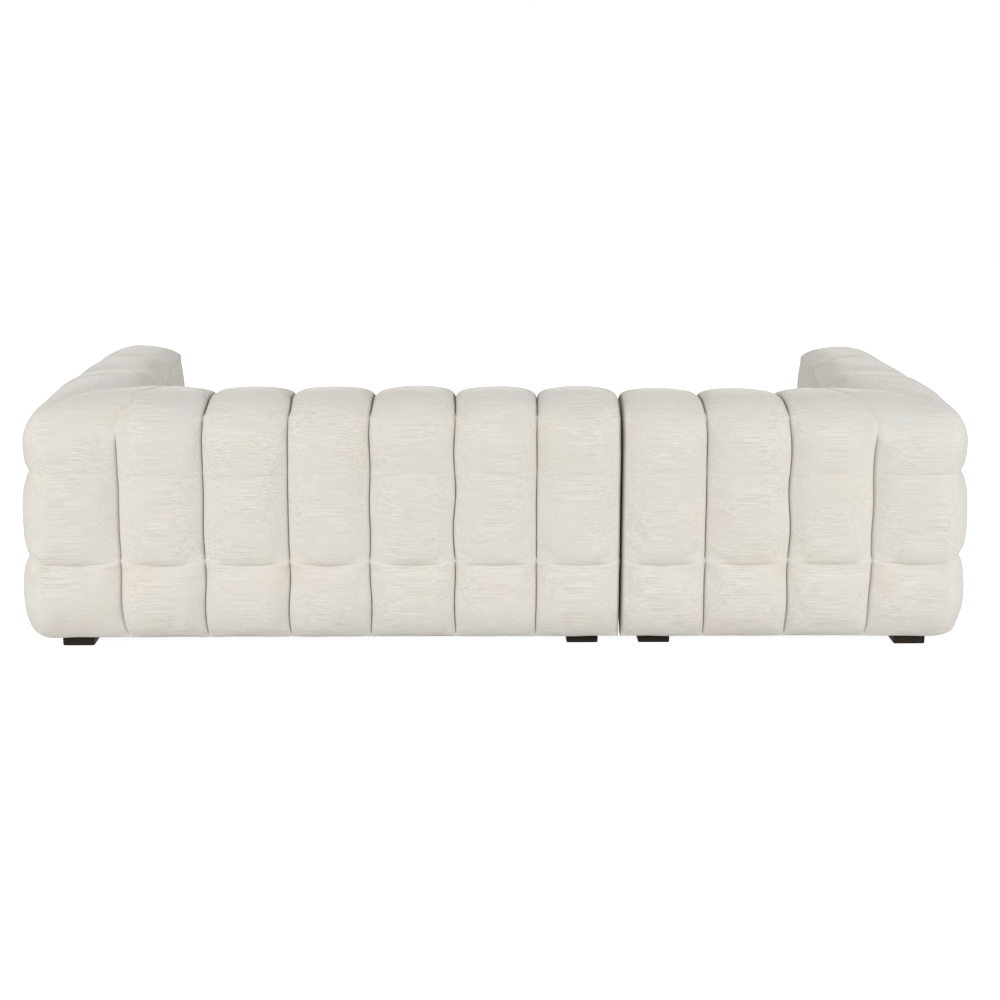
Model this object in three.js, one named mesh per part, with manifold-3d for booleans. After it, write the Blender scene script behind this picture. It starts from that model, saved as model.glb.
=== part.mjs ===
// A two-piece tufted tuxedo sofa: a two-seat module and a one-seat module that plug together, with arms and
// back of one height, biscuit tufting on every face, three loose seat cushions and flat block feet.
// Millimetres, +Z up. The sofa faces -Y, X runs along its length, and the origin is on the floor under its
// centre.
// Left and right are those of someone who stands in front of it, with +X to the right.
import * as THREE from "three";
import { mergeVertices } from "three/addons/utils/BufferGeometryUtils.js";
import Module from "manifold-3d";

const wasm = await Module();
wasm.setup();

// Tufting grid
const columnPitch = 235; // between the vertical seams of the back
const seatColumns = 3; // columns of the back behind one seat, and of tufts across its cushion
const twoSeatCount = 2;
const oneSeatCount = 1;
const armColumn = 249.5; // from the back's last seam to the outer face of the arm
const sideColumns = 4; // columns along the outer face of an arm
const bottomRow = 234; // heights of the rows of cells on the outer faces
const middleRow = 245;
const topRow = 170;
const cushionRows = 3; // of tufts from the front of a seat cushion to its rear

// Body
const armThickness = 287;
const backThickness = 260;
const sofaDepth = 1040; // between the planes of the pulled seams, without the bulges
const moduleGap = 6;
const cornerRadius = 45; // of the wall's outer rear corner
const innerEdgeRise = 20; // from the outer top edge of a wall to its inner one
const backCrownRise = 50; // from the outer top edge to the back's crown, half way along a cell
const armCrownRise = 68; // the same on an arm
const seamCrownRise = 30; // the same at a seam
const shoulderDraw = 46; // how far the outer top edge is drawn in
const shoulderHeight = 137; // of the outer face over which it is drawn in
const bulge = 25; // how far a tufted cell stands proud of its seams
const bottomTuck = 18; // how far the lowest edge of the outer faces is drawn in
const footHeight = 28;
const contactGap = 0.3; // between pieces that touch
const overrun = 5; // how far a cut runs past the face that it opens
const mergeDistance = 0.001; // points closer than this are one

// Shape of a tufted cell
const pillowPower = 3;
const pillowRound = 0.6;
const domePower = 2.2; // of the top's curve from its outer to its inner edge
const rowKeepShares = [0, 0.3, 0.5, 1]; // of the bulge left along each level seam, from the lowest edge up
const cushionKeepShare = 0.6; // of a cushion's crown left along its seams
const tuckShare = 0.5; // of the bottom row over which its edge is drawn in
const cellShares = [0, 0.13, 0.5, 0.87]; // where a cell is sampled across
const arcShares = [0, 0.5, 1]; // where half of the rear corner is sampled

// Layers and boards of the walls
const coverThickness = 30; // of fabric and fibre at the lowest edge
const topCoverThickness = 20;
const foamThickness = 25;
const topFoamThickness = 28;
const boardThickness = 22;
const bottomBoardThickness = 28;
const postWidth = 45;

// Seat box
const railThickness = 45;
const strapWidth = 70;
const strapThickness = 2.5;
const strapPitch = 200;
const deckThickness = 50;
const apronThickness = 60;
const panelThickness = 12;
const dustThickness = 2;
const dustInset = 32;

// Seat cushions
const cushionHeight = 180;
const cushionCrown = 18;
const cushionClearance = 28; // from arms and back, so that a cushion lifts out past their bulges
const cushionGap = 4; // between two cushions
const cushionDraw = 14; // how far the top and bottom edges are drawn in
const cushionSkin = 22; // cover and fibre round the foam core
const zipLength = 420;
const zipHeight = 12;

// Feet
const footWidth = 90;
const footChamfer = 3;
const innerFootRecess = 60; // from the plane of the rear seams to a foot beside the split
const outerFootRecess = 40; // the same below an arm
const footFromSplit = 100; // from the split to the centre of the inner feet
const footFromArm = 122; // from the arm's outer face to the centre of the outer feet
const studRadius = 4;
const studLength = 20; // above the underside of the body
const studClearance = 0.6;
const studSides = 12;

// Connectors between the modules
const tongueWidth = 40;
const tongueThickness = 6;
const tongueReach = 60; // of the receiver's sleeve
const tongueClearance = 0.3;
const slotClearance = 2; // round the tongue where it passes timber and panel
const plateWidth = 90;
const plateHeight = 60;
const plateThickness = 4;
const connectorShares = [0.3, 0.7]; // of the split rail's length
const connectorEnds = ["front", "rear"];

// Heights and planes that follow
const bodyBottom = footHeight + dustThickness + contactGap;
const outerEdgeZ = footHeight + bottomRow + middleRow + topRow;
const innerEdgeZ = outerEdgeZ + innerEdgeRise;
const outerRowZ = [bodyBottom, footHeight + bottomRow, footHeight + bottomRow + middleRow, outerEdgeZ];
const deckTop = footHeight + bottomRow;
const cushionBottom = deckTop + contactGap;
const cushionTop = cushionBottom + cushionHeight;
const rearY = sofaDepth / 2;
const frontY = -sofaDepth / 2;
const innerY = rearY - backThickness;
const hollowOffset = bottomTuck + coverThickness;
const foamOffset = hollowOffset + contactGap;
const frameOffset = foamOffset + foamThickness + contactGap;
const hollowTop = outerEdgeZ - topCoverThickness;
const foamTop = hollowTop - contactGap;
const frameTop = foamTop - topFoamThickness - contactGap;
const bottomBoardTop = bodyBottom + bottomBoardThickness;
const strapBottom = deckTop - deckThickness - contactGap - strapThickness;
const railTop = strapBottom - contactGap;
const railX = panelThickness + contactGap;
const railY = frontY + apronThickness + contactGap;
const splitRailY = [railY + railThickness + contactGap, innerY - railThickness - 2 * contactGap];
const connectorY = connectorShares.map((share) => splitRailY[0] + (splitRailY[1] - splitRailY[0]) * share);
const connectorX = railX + railThickness + contactGap;
const connectorZ = (bodyBottom + railTop) / 2;

const fabric = { color: 0xe0dbd1, roughness: 0.95, metalness: 0 };
const foam = { color: 0xe9d9a8, roughness: 0.9, metalness: 0 };
const timber = { color: 0xc49a6c, roughness: 0.7, metalness: 0 };
const blackWood = { color: 0x26231d, roughness: 0.5, metalness: 0 };
const blackCloth = { color: 0x2a2a2a, roughness: 0.95, metalness: 0 };
const webbing = { color: 0x5b4a3a, roughness: 0.9, metalness: 0 };
const steel = { color: 0x9a9c9f, roughness: 0.4, metalness: 0.9 };

const { lerp } = THREE.MathUtils;

function mesh(name, shape, look) {
  const geometry = shape.isBufferGeometry ? shape : geometryOf(shape);
  const made = new THREE.Mesh(geometry, new THREE.MeshStandardMaterial(look));
  made.name = name;
  return made;
}

// A closed geometry as a manifold-3d solid, and back.
function solidOf(geometry) {
  const bare = geometry.clone();
  bare.deleteAttribute("normal");
  bare.deleteAttribute("uv");
  const merged = mergeVertices(bare, mergeDistance);
  const vertProperties = new Float32Array(merged.attributes.position.array);
  const triVerts = new Uint32Array(merged.index.array);
  return new wasm.Manifold(new wasm.Mesh({ numProp: 3, vertProperties, triVerts }));
}

function geometryOf(solid) {
  const { vertProperties, triVerts } = solid.getMesh();
  return new THREE.BufferGeometry()
    .setAttribute("position", new THREE.BufferAttribute(vertProperties, 3))
    .setIndex(new THREE.BufferAttribute(triVerts, 1));
}

function block(low, high) {
  const size = high.map((value, axis) => value - low[axis]);
  const middle = high.map((value, axis) => (value + low[axis]) / 2);
  return solidOf(new THREE.BoxGeometry(...size).translate(...middle));
}

// Evenly spaced places from 0 to a length, both ends included.
const steps = (count, length) => Array.from({ length: count + 1 }, (_, i) => (length * i) / count);

// The spaces left between bars that are centred on the given places and close both ends.
function spacesBetween(start, end, centres, bar) {
  const bars = [start + bar / 2, ...centres, end - bar / 2];
  const spaces = bars.slice(1).map((centre, i) => [bars[i] + bar / 2, centre - bar / 2]);
  return spaces.filter(([low, high]) => high > low);
}

// A board with an opening at each crossing of its columns and rows, lying flat.
function lattice([left, right], [near, far], columns, rows, thickness) {
  const holes = columns.flatMap(([x0, x1]) =>
    rows.map(([y0, y1]) => block([x0, y0, -overrun], [x1, y1, thickness + overrun])),
  );
  return holes.reduce((board, hole) => board.subtract(hole), block([left, near, 0], [right, far, thickness]));
}

// The cell that a place falls in, between rising edges, and how far across it lies.
function cellAt(edges, place) {
  let i = 0;
  while (i < edges.length - 2 && place > edges[i + 1]) i += 1;
  return { i, share: (place - edges[i]) / (edges[i + 1] - edges[i]) };
}

// Share of the full bulge across a cell: none at its two seams.
const pillow = (share) => Math.max(0, 1 - Math.abs(2 * share - 1) ** pillowPower) ** pillowRound;
const pillowIn = (edges, place) => pillow(cellAt(edges, place).share);

// The same up the outer faces, where the level seams keep part of the bulge.
function rowShare(z) {
  const { i, share } = cellAt(outerRowZ, z);
  const keep = lerp(rowKeepShares[i], rowKeepShares[i + 1], share);
  return keep + (1 - keep) * pillow(share);
}

// How far the outer face is drawn in at a height: tucked under the body, and rounded into the top.
function drawnAt(z) {
  const low = (z - bodyBottom) / ((outerRowZ[1] - bodyBottom) * tuckShare);
  const high = 1 - (outerEdgeZ - z) / shoulderHeight;
  return bottomTuck * (1 - Math.min(1, low)) ** 2 + shoulderDraw * Math.max(0, high) ** 2;
}

const dome = (share) => 1 - Math.abs(2 * share - 1) ** domePower;

// Sample places over a run of cells, close to each seam.
function sampled(edges) {
  const inside = edges.slice(1).flatMap((end, i) => cellShares.map((share) => lerp(edges[i], end, share)));
  return [...inside, edges[edges.length - 1]];
}

const heights = sampled(outerRowZ);
const acrossShares = sampled([0, 1]);

function closedBody(triangles) {
  const places = triangles.flat().flatMap((p) => [p.x, p.y, p.z]);
  const loose = new THREE.BufferGeometry();
  return solidOf(loose.setAttribute("position", new THREE.Float32BufferAttribute(places, 3)));
}

// The faces of a grid of points. They look to the side from which rows run up and points run to the right.
function gridFaces(rows) {
  return rows.slice(1).flatMap((upper, r) =>
    upper.slice(1).flatMap((corner, c) => {
      const lower = rows[r];
      return [[lower[c], lower[c + 1], corner], [lower[c], corner, upper[c]]];
    }),
  );
}

const turned = (faces) => faces.map((face) => [...face].reverse());

// One cross-section of a wall: its outer face going up, its top going in, its inner face and its underside.
function wallSection({ outerAt, innerAt, outward, outerCell, topCell, crownRise }) {
  const at = (share, z) => new THREE.Vector3(
    lerp(outerAt.x, innerAt.x, share), lerp(outerAt.y, innerAt.y, share), z,
  );
  const proudAt = (z) => bulge * outerCell * rowShare(z) - drawnAt(z);
  const outer = heights.map((z) => at(0, z).addScaledVector(outward, proudAt(z)));
  const between = acrossShares.slice(1, -1);
  const edge = outer[outer.length - 1];
  const top = between.map((share) => {
    const rise = lerp(seamCrownRise, crownRise, topCell) - innerEdgeRise * share;
    const point = new THREE.Vector3().lerpVectors(edge, at(1, outerEdgeZ), share);
    point.z += innerEdgeRise * share + rise * dome(share);
    return point;
  });
  const freeRows = [cushionTop + cushionCrown, innerEdgeZ];
  const inner = heights.map((z) => {
    const level = lerp(bodyBottom, innerEdgeZ, (z - bodyBottom) / (outerEdgeZ - bodyBottom));
    const proud = level > freeRows[0] ? bulge * topCell * pillowIn(freeRows, level) : 0;
    return at(1, level).addScaledVector(outward, -proud);
  });
  const under = between.map((share) => new THREE.Vector3().lerpVectors(inner[0], outer[0], share));
  return { outer, top, inner, under };
}

function ringOf({ outer, top, inner, under }) {
  return [...outer, ...top, ...[...inner].reverse(), ...under, outer[0]];
}

// The grid that closes a wall's end, pushed forward by the given amount at a share across and a height.
function endGrid({ outer, top, inner, under }, forward) {
  const last = outer.length - 1;
  const middleRows = heights.slice(1, -1).map((z, i) => acrossShares.map((share) => {
    const point = new THREE.Vector3().lerpVectors(outer[i + 1], inner[i + 1], share);
    point.y -= forward(share, z);
    return point;
  }));
  return [[outer[0], ...[...under].reverse(), inner[0]], ...middleRows, [outer[last], ...top, inner[last]]];
}

// A wall swept through its stations. Its last end is closed flat, or tufted as the front of an arm is.
function wallSolid(stations, lastForward) {
  const sections = stations.map(wallSection);
  const last = sections[sections.length - 1];
  return closedBody([
    ...gridFaces(sections.map(ringOf)),
    ...gridFaces(endGrid(sections[0], () => 0)),
    ...turned(gridFaces(endGrid(last, lastForward))),
  ]);
}

// Stations along one wall. The top seams tell which place of the inner face goes with one of the outer face.
function wallStations({ outerSeams, topSeams, innerSeams, arc, end, crownRise, faces }) {
  const inRange = sampled(outerSeams).filter((place) => place > 0 && place < end);
  const places = [...new Set([0, ...inRange, ...topSeams, ...arc])].sort((a, b) => a - b);
  return places.map((outerPlace) => {
    const { i, share } = cellAt(topSeams, outerPlace);
    return {
      ...faces(outerPlace, lerp(innerSeams[i], innerSeams[i + 1], share)),
      crownRise,
      outerCell: pillowIn(outerSeams, outerPlace),
      topCell: pillow(share),
    };
  });
}

// The back, from the split to the mitre in the rear corner. Its last cell goes on round the corner.
function backStations({ columns, length, innerX }) {
  const seams = steps(columns, columns * columnPitch);
  const arcStart = length - cornerRadius;
  return wallStations({
    outerSeams: [...seams, length + sofaDepth / sideColumns],
    topSeams: [...seams.slice(0, -1), length],
    innerSeams: steps(columns, innerX),
    arc: arcShares.map((share) => lerp(arcStart, length, share)),
    end: length,
    crownRise: backCrownRise,
    faces: (outerPlace, innerPlace) => {
      const turn = (Math.max(0, outerPlace - arcStart) / cornerRadius) * (Math.PI / 4);
      const outward = new THREE.Vector3(Math.sin(turn), Math.cos(turn), 0);
      const centre = new THREE.Vector3(Math.min(outerPlace, arcStart), rearY - cornerRadius, 0);
      return {
        outward,
        outerAt: centre.addScaledVector(outward, cornerRadius),
        innerAt: new THREE.Vector3(innerPlace, innerY, 0),
      };
    },
  });
}

// The arm, from the same mitre to the front.
function armStations({ length, innerX }) {
  const seams = steps(sideColumns, sofaDepth);
  return wallStations({
    outerSeams: [-armColumn, ...seams.slice(1)],
    topSeams: [0, ...seams.slice(2)],
    innerSeams: [backThickness, ...seams.slice(2)],
    arc: arcShares.map((share) => cornerRadius * (1 - share)),
    end: sofaDepth,
    crownRise: armCrownRise,
    faces: (outerPlace, innerPlace) => {
      const turn = (1 - Math.min(1, outerPlace / cornerRadius)) * (Math.PI / 4);
      const outward = new THREE.Vector3(Math.cos(turn), Math.sin(turn), 0);
      const centre = new THREE.Vector3(length - cornerRadius, rearY - Math.max(cornerRadius, outerPlace), 0);
      return {
        outward,
        outerAt: centre.addScaledVector(outward, cornerRadius),
        innerAt: new THREE.Vector3(innerX, rearY - innerPlace, 0),
      };
    },
  });
}

// The space inside the walls of a module, at one offset from their faces and up to one height.
function wallCavity({ length, innerX }, offset, top) {
  const right = length - offset;
  const far = rearY - offset;
  const back = block([offset, innerY + offset, bodyBottom - overrun], [right, far, top]);
  return back.add(block([innerX + offset, frontY + offset, bodyBottom - overrun], [right, far, top]));
}

function wallCovers(name, sizes) {
  const cavity = wallCavity(sizes, hollowOffset, hollowTop);
  const armFront = (share, z) => bulge * pillow(share) * rowShare(z);
  const back = wallSolid(backStations(sizes), () => 0).subtract(cavity).translate([-contactGap / 2, 0, 0]);
  const arm = wallSolid(armStations(sizes), armFront).subtract(cavity).translate([0, -contactGap / 2, 0]);
  return [mesh(name + "_back_cover", back, fabric), mesh(name + "_arm_cover", arm, fabric)];
}

// Foam round the wall frames. The back's piece takes the corner, and the arm's piece butts against it.
function wallFoams(name, sizes) {
  const { length, innerX } = sizes;
  const cavity = wallCavity(sizes, frameOffset - contactGap, foamTop - topFoamThickness);
  const right = length - foamOffset;
  const near = innerY + foamOffset;
  const armNear = [innerX + foamOffset, frontY + foamOffset, bodyBottom];
  const back = block([foamOffset, near, bodyBottom], [right, rearY - foamOffset, foamTop]);
  const arm = block(armNear, [right, near - contactGap, foamTop]);
  return [
    mesh(name + "_back_foam", back.subtract(cavity), foam),
    mesh(name + "_arm_foam", arm.subtract(cavity), foam),
  ];
}

// The timber boxes inside the walls: each has a bottom board, two open sides and a top board.
function wallFrames(name, sizes) {
  const { columns, length, innerX } = sizes;
  const left = frameOffset;
  const right = length - frameOffset;
  const near = innerY + frameOffset;
  const far = rearY - frameOffset;
  const armLeft = innerX + frameOffset;
  const armNear = frontY + frameOffset;
  const armFar = near - contactGap;
  const sideLow = bottomBoardTop + contactGap;
  const sideHigh = frameTop - boardThickness - contactGap;
  const rows = spacesBetween(sideLow, sideHigh, [outerRowZ[1]], postWidth);
  const postsBetween = (start, end, places) =>
    spacesBetween(start, end, places.filter((place) => place > start + postWidth && place < end), postWidth);

  const backRight = right - boardThickness - contactGap;
  const backPosts = postsBetween(left, backRight, steps(columns, columns * columnPitch));
  const backSide = lattice([left, backRight], [sideLow, sideHigh], backPosts, rows, boardThickness);
  const standBack = (y) => geometryOf(backSide).rotateX(Math.PI / 2).translate(0, y, 0);

  const seamsY = steps(sideColumns, sofaDepth).map((y) => frontY + y);
  const armSide = (end) => {
    const posts = postsBetween(armNear, end, seamsY);
    return lattice([armNear, end], [sideLow, sideHigh], posts, rows, boardThickness);
  };
  const standArm = (side, x) => geometryOf(side).rotateX(Math.PI / 2).rotateZ(Math.PI / 2).translate(x, 0, 0);

  const studs = footPlaces(sizes).filter((place) => place.underWall).map((place) => studHole(place));
  const topBoard = ([x0, y0], [x1, y1]) => block([x0, y0, frameTop - boardThickness], [x1, y1, frameTop]);
  const bottomBoard = ([x0, y0], [x1, y1]) =>
    studs.reduce((board, hole) => board.subtract(hole), block([x0, y0, bodyBottom], [x1, y1, bottomBoardTop]));
  return [
    mesh(name + "_back_outer_frame", standBack(far), timber),
    mesh(name + "_back_inner_frame", standBack(near + boardThickness), timber),
    mesh(name + "_back_top_board", topBoard([left, near], [right, far]), timber),
    mesh(name + "_back_bottom_board", bottomBoard([left, near], [right, far]), timber),
    mesh(name + "_arm_outer_frame", standArm(armSide(far), right - boardThickness), timber),
    mesh(name + "_arm_inner_frame", standArm(armSide(armFar), armLeft), timber),
    mesh(name + "_arm_top_board", topBoard([armLeft, armNear], [right, armFar]), timber),
    mesh(name + "_arm_bottom_board", bottomBoard([armLeft, armNear], [right, armFar]), timber),
  ];
}

// Where the feet of a module stand. Only the front inner one is under the seat box.
function footPlaces({ length }) {
  const rear = rearY - footWidth / 2;
  const front = railY + railThickness / 2;
  const outer = length - footFromArm;
  return [
    { name: "rear_inner", x: footFromSplit, y: rear - innerFootRecess, underWall: true },
    { name: "rear_outer", x: outer, y: rear - outerFootRecess, underWall: true },
    { name: "front_inner", x: footFromSplit, y: front, underWall: false },
    { name: "front_outer", x: outer, y: frontY + frameOffset + footWidth / 2, underWall: true },
  ];
}

function studRod({ x, y }, radius, low, high) {
  const rod = new THREE.CylinderGeometry(radius, radius, high - low, studSides).rotateX(Math.PI / 2);
  return solidOf(rod.translate(x, y, (low + high) / 2));
}

const studHole = (place) =>
  studRod(place, studRadius + studClearance, footHeight - overrun, bodyBottom + studLength + studClearance);

function foot(name, place) {
  const half = footWidth / 2;
  const top = footHeight - contactGap;
  const outline = [
    [footChamfer - half, 0], [half - footChamfer, 0], [half, footChamfer],
    [half, top], [-half, top], [-half, footChamfer],
  ];
  const shape = new THREE.Shape(outline.map(([x, z]) => new THREE.Vector2(x, z)));
  const pad = new THREE.ExtrudeGeometry(shape, { depth: footWidth, bevelEnabled: false });
  const stood = solidOf(pad.rotateX(Math.PI / 2).translate(place.x, place.y + half, 0));
  const joined = stood.add(studRod(place, studRadius, footHeight - overrun, bodyBottom + studLength));
  return mesh(name + "_foot_" + place.name, joined, blackWood);
}

function dustCover(name, sizes) {
  const low = [dustInset, frontY + dustInset, footHeight];
  const high = [sizes.length - dustInset, rearY - dustInset, footHeight + dustThickness];
  const sheet = footPlaces(sizes).map(studHole).reduce((left, hole) => left.subtract(hole), block(low, high));
  return mesh(name + "_dust_cover", sheet, blackCloth);
}

// A flat bar from one X to another at a connector's place, grown all round by a clearance.
function flatBar(y, from, to, grown) {
  const halfWidth = tongueWidth / 2 + grown;
  const halfHeight = tongueThickness / 2 + grown;
  return block([from, y - halfWidth, connectorZ - halfHeight], [to, y + halfWidth, connectorZ + halfHeight]);
}

function slotted(solid) {
  const cuts = connectorY.map((y) => flatBar(y, -overrun, connectorX + overrun, slotClearance));
  return cuts.reduce((left, cut) => left.subtract(cut), solid);
}

function connectorPlate(y) {
  return block(
    [connectorX, y - plateWidth / 2, connectorZ - plateHeight / 2],
    [connectorX + plateThickness, y + plateWidth / 2, connectorZ + plateHeight / 2],
  );
}

// A receiver is a steel sleeve behind the split rail, and a tongue is the flat bar that plugs into it.
function receiver(y) {
  const end = connectorX + tongueReach;
  const sleeve = flatBar(y, connectorX, end, tongueClearance + plateThickness);
  return connectorPlate(y).add(sleeve).subtract(flatBar(y, -overrun, end + overrun, tongueClearance));
}

function tongue(y) {
  const reach = moduleGap + connectorX + tongueReach - overrun;
  return connectorPlate(y).add(flatBar(y, -reach, connectorX + plateThickness, 0));
}

// The front of the seat box, tufted in line with the back's columns.
function apron({ columns }, right) {
  const seams = steps(columns, right);
  const rows = heights.filter((z) => z <= deckTop);
  const front = rows.map((z) => sampled(seams).map((x) => {
    const proud = bulge * pillowIn(seams, x) * rowShare(z);
    return new THREE.Vector3(x, frontY - proud + drawnAt(z), z);
  }));
  const back = front.map((row) => row.map(({ x, z }) => new THREE.Vector3(x, frontY + apronThickness, z)));
  const edge = (pick) => gridFaces([pick(front), pick(back)]);
  return closedBody([
    ...gridFaces(front),
    ...turned(gridFaces(back)),
    ...turned(edge((grid) => grid[0])),
    ...edge((grid) => grid[grid.length - 1]),
    ...edge((grid) => grid.map((row) => row[0])),
    ...turned(edge((grid) => grid.map((row) => row[row.length - 1]))),
  ]);
}

// Rails, webbing, deck, apron and split panel between the walls of a module.
function seatBox(name, sizes) {
  const { seats, innerX } = sizes;
  const right = innerX - contactGap;
  const far = innerY - contactGap;
  const rail = (low, high) => block([...low, bodyBottom], [...high, railTop]);
  const frontFoot = footPlaces(sizes).find((place) => !place.underWall);
  const frontRail = rail([railX, railY], [right, railY + railThickness]).subtract(studHole(frontFoot));
  const rearRail = rail([railX, far - railThickness], [right, far]);
  const splitRail = slotted(rail([railX, splitRailY[0]], [railX + railThickness, splitRailY[1]]));
  const panel = slotted(block([0, railY, bodyBottom], [panelThickness, far, deckTop]));
  const centreRails = steps(seats, right - railX).slice(1, -1).map((x) => {
    const left = railX + x - railThickness / 2;
    const centreRail = rail([left, splitRailY[0]], [left + railThickness, splitRailY[1]]);
    return mesh(name + "_centre_rail", centreRail, timber);
  });
  const strapSpaces = (from, to) => {
    const count = Math.round((to - from) / strapPitch);
    const centres = steps(count, to - from).slice(1, -1).map((place) => from + place);
    return spacesBetween(from, to, centres, strapWidth);
  };
  const straps = lattice([railX, right], [railY, far], strapSpaces(railX, right), strapSpaces(railY, far),
    strapThickness).translate([0, 0, strapBottom]);
  const deck = block([railX, railY, deckTop - deckThickness], [right, far, deckTop]);
  return [
    mesh(name + "_apron_cover", apron(sizes, right), fabric),
    mesh(name + "_split_panel", panel, fabric),
    mesh(name + "_front_rail", frontRail, timber),
    mesh(name + "_rear_rail", rearRail, timber),
    mesh(name + "_split_rail", splitRail, timber),
    ...centreRails,
    mesh(name + "_webbing", straps, webbing),
    mesh(name + "_deck", deck, foam),
  ];
}

// The outside of a loose cushion: tufted and crowned on top, its sides fullest half way up.
function cushionBody(low, high) {
  const seamsX = steps(seatColumns, high[0] - low[0]).map((x) => low[0] + x);
  const seamsY = steps(cushionRows, high[1] - low[1]).map((y) => low[1] + y);
  const middle = [(low[0] + high[0]) / 2, (low[1] + high[1]) / 2];
  const drawnIn = (value, axis, inset) =>
    middle[axis] + (value - middle[axis]) * (1 - (2 * inset) / (high[axis] - low[axis]));
  const layer = (z, inset, lift) => sampled(seamsY).map((y) => sampled(seamsX).map((x) =>
    new THREE.Vector3(drawnIn(x, 0, inset), drawnIn(y, 1, inset), z + lift(x, y))));
  const crown = (x, y) => {
    const whole = pillowIn([low[0], high[0]], x) * pillowIn([low[1], high[1]], y);
    const cell = pillowIn(seamsX, x) * pillowIn(seamsY, y);
    return cushionCrown * lerp(cell, whole, cushionKeepShare);
  };
  const rim = (grid) => [
    ...grid[0],
    ...grid.slice(1).map((row) => row[row.length - 1]),
    ...grid[grid.length - 1].slice(0, -1).reverse(),
    ...grid.slice(0, -1).map((row) => row[0]).reverse(),
  ];
  const top = layer(high[2], cushionDraw, crown);
  const bottom = layer(low[2], cushionDraw, () => 0);
  const bottomRim = rim(bottom);
  const bottomCentre = new THREE.Vector3(...middle, low[2]);
  const sides = acrossShares.slice(1, -1).map((share) =>
    layer(lerp(low[2], high[2], share), cushionDraw * (1 - pillow(share)), () => 0));
  return closedBody([
    ...gridFaces(top),
    ...bottomRim.slice(1).map((point, i) => [point, bottomRim[i], bottomCentre]),
    ...gridFaces([bottom, ...sides, top].map(rim)),
  ]);
}

function cushion(name, low, high) {
  const inside = [low.map((v) => v + cushionSkin), high.map((v) => v - cushionSkin)];
  const middleX = (low[0] + high[0]) / 2;
  const middleZ = (low[2] + high[2]) / 2;
  const zip = block(
    [middleX - zipLength / 2, high[1] - cushionSkin - overrun, middleZ - zipHeight / 2],
    [middleX + zipLength / 2, high[1] + overrun, middleZ + zipHeight / 2],
  );
  const cover = cushionBody(low, high).subtract(block(...inside)).subtract(zip);
  const core = block(inside[0].map((v) => v + contactGap), inside[1].map((v) => v - contactGap));
  return [mesh(name + "_cover", cover, fabric), mesh(name + "_core", core, foam)];
}

function cushions(names, { innerX }) {
  const width = (innerX - cushionClearance - cushionGap * (names.length - 1)) / names.length;
  return names.flatMap((name, i) => {
    const x = i * (width + cushionGap);
    return cushion(name, [x, frontY, cushionBottom], [x + width, innerY - cushionClearance, cushionTop]);
  });
}

// A module is built with its split face on X = 0 and its arm at the far end.
function sofaModule(name, seats, cushionNames, connector) {
  const columns = seats * seatColumns;
  const length = columns * columnPitch + armColumn;
  const sizes = { seats, columns, length, innerX: length - armThickness };
  const group = new THREE.Group();
  group.userData.length = length;
  group.add(
    ...wallCovers(name, sizes),
    ...wallFoams(name, sizes),
    ...wallFrames(name, sizes),
    ...seatBox(name, sizes),
    dustCover(name, sizes),
    ...footPlaces(sizes).map((place) => foot(name, place)),
    ...connectorY.map((y, i) => mesh(`${name}_${connectorEnds[i]}_${connector.name}`, connector(y), steel)),
    ...cushions(cushionNames, sizes),
  );
  return group;
}

const twoSeat = sofaModule("two_seat", twoSeatCount, ["middle_cushion", "right_cushion"], receiver);
const oneSeat = sofaModule("one_seat", oneSeatCount, ["left_cushion"], tongue);
const splitX = (oneSeat.userData.length - twoSeat.userData.length) / 2;
twoSeat.position.x = splitX + moduleGap / 2;
oneSeat.position.x = splitX - moduleGap / 2;
oneSeat.scale.x = -1;

const sofa = new THREE.Group();
sofa.add(twoSeat, oneSeat);
export default sofa;
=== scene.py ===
import itertools
import math
from types import SimpleNamespace

import bmesh
import bpy
import numpy as np
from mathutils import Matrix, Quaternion, Vector


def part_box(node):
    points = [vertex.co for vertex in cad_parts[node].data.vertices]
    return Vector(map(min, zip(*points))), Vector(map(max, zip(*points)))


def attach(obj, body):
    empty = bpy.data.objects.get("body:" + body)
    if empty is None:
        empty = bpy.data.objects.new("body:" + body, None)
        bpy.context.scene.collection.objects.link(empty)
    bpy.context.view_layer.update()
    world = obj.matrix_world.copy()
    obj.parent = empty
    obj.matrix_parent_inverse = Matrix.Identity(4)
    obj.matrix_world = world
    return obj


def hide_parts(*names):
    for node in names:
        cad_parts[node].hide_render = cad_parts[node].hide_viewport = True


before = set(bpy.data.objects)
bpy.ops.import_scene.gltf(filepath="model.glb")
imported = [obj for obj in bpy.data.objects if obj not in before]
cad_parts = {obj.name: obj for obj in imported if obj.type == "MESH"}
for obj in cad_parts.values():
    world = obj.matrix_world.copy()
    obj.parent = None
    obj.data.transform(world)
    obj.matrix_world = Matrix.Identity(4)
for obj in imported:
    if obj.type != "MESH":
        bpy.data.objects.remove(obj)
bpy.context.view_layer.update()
print("frame loaded")

# The view that the photograph was taken from, behind the sofa
cameraPlan = {
    "focalPixels": 1964.0,
    "imagePixels": 1000.0,
    "sensor": 36.0,
    "tilt": math.radians(11.82),
    "roll": math.radians(-0.12),
    "yaw": math.radians(-0.92),
    "behindSeams": 5.38,
    "aboveBody": 1.527,
    "sideways": 0.0745,
}

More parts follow.
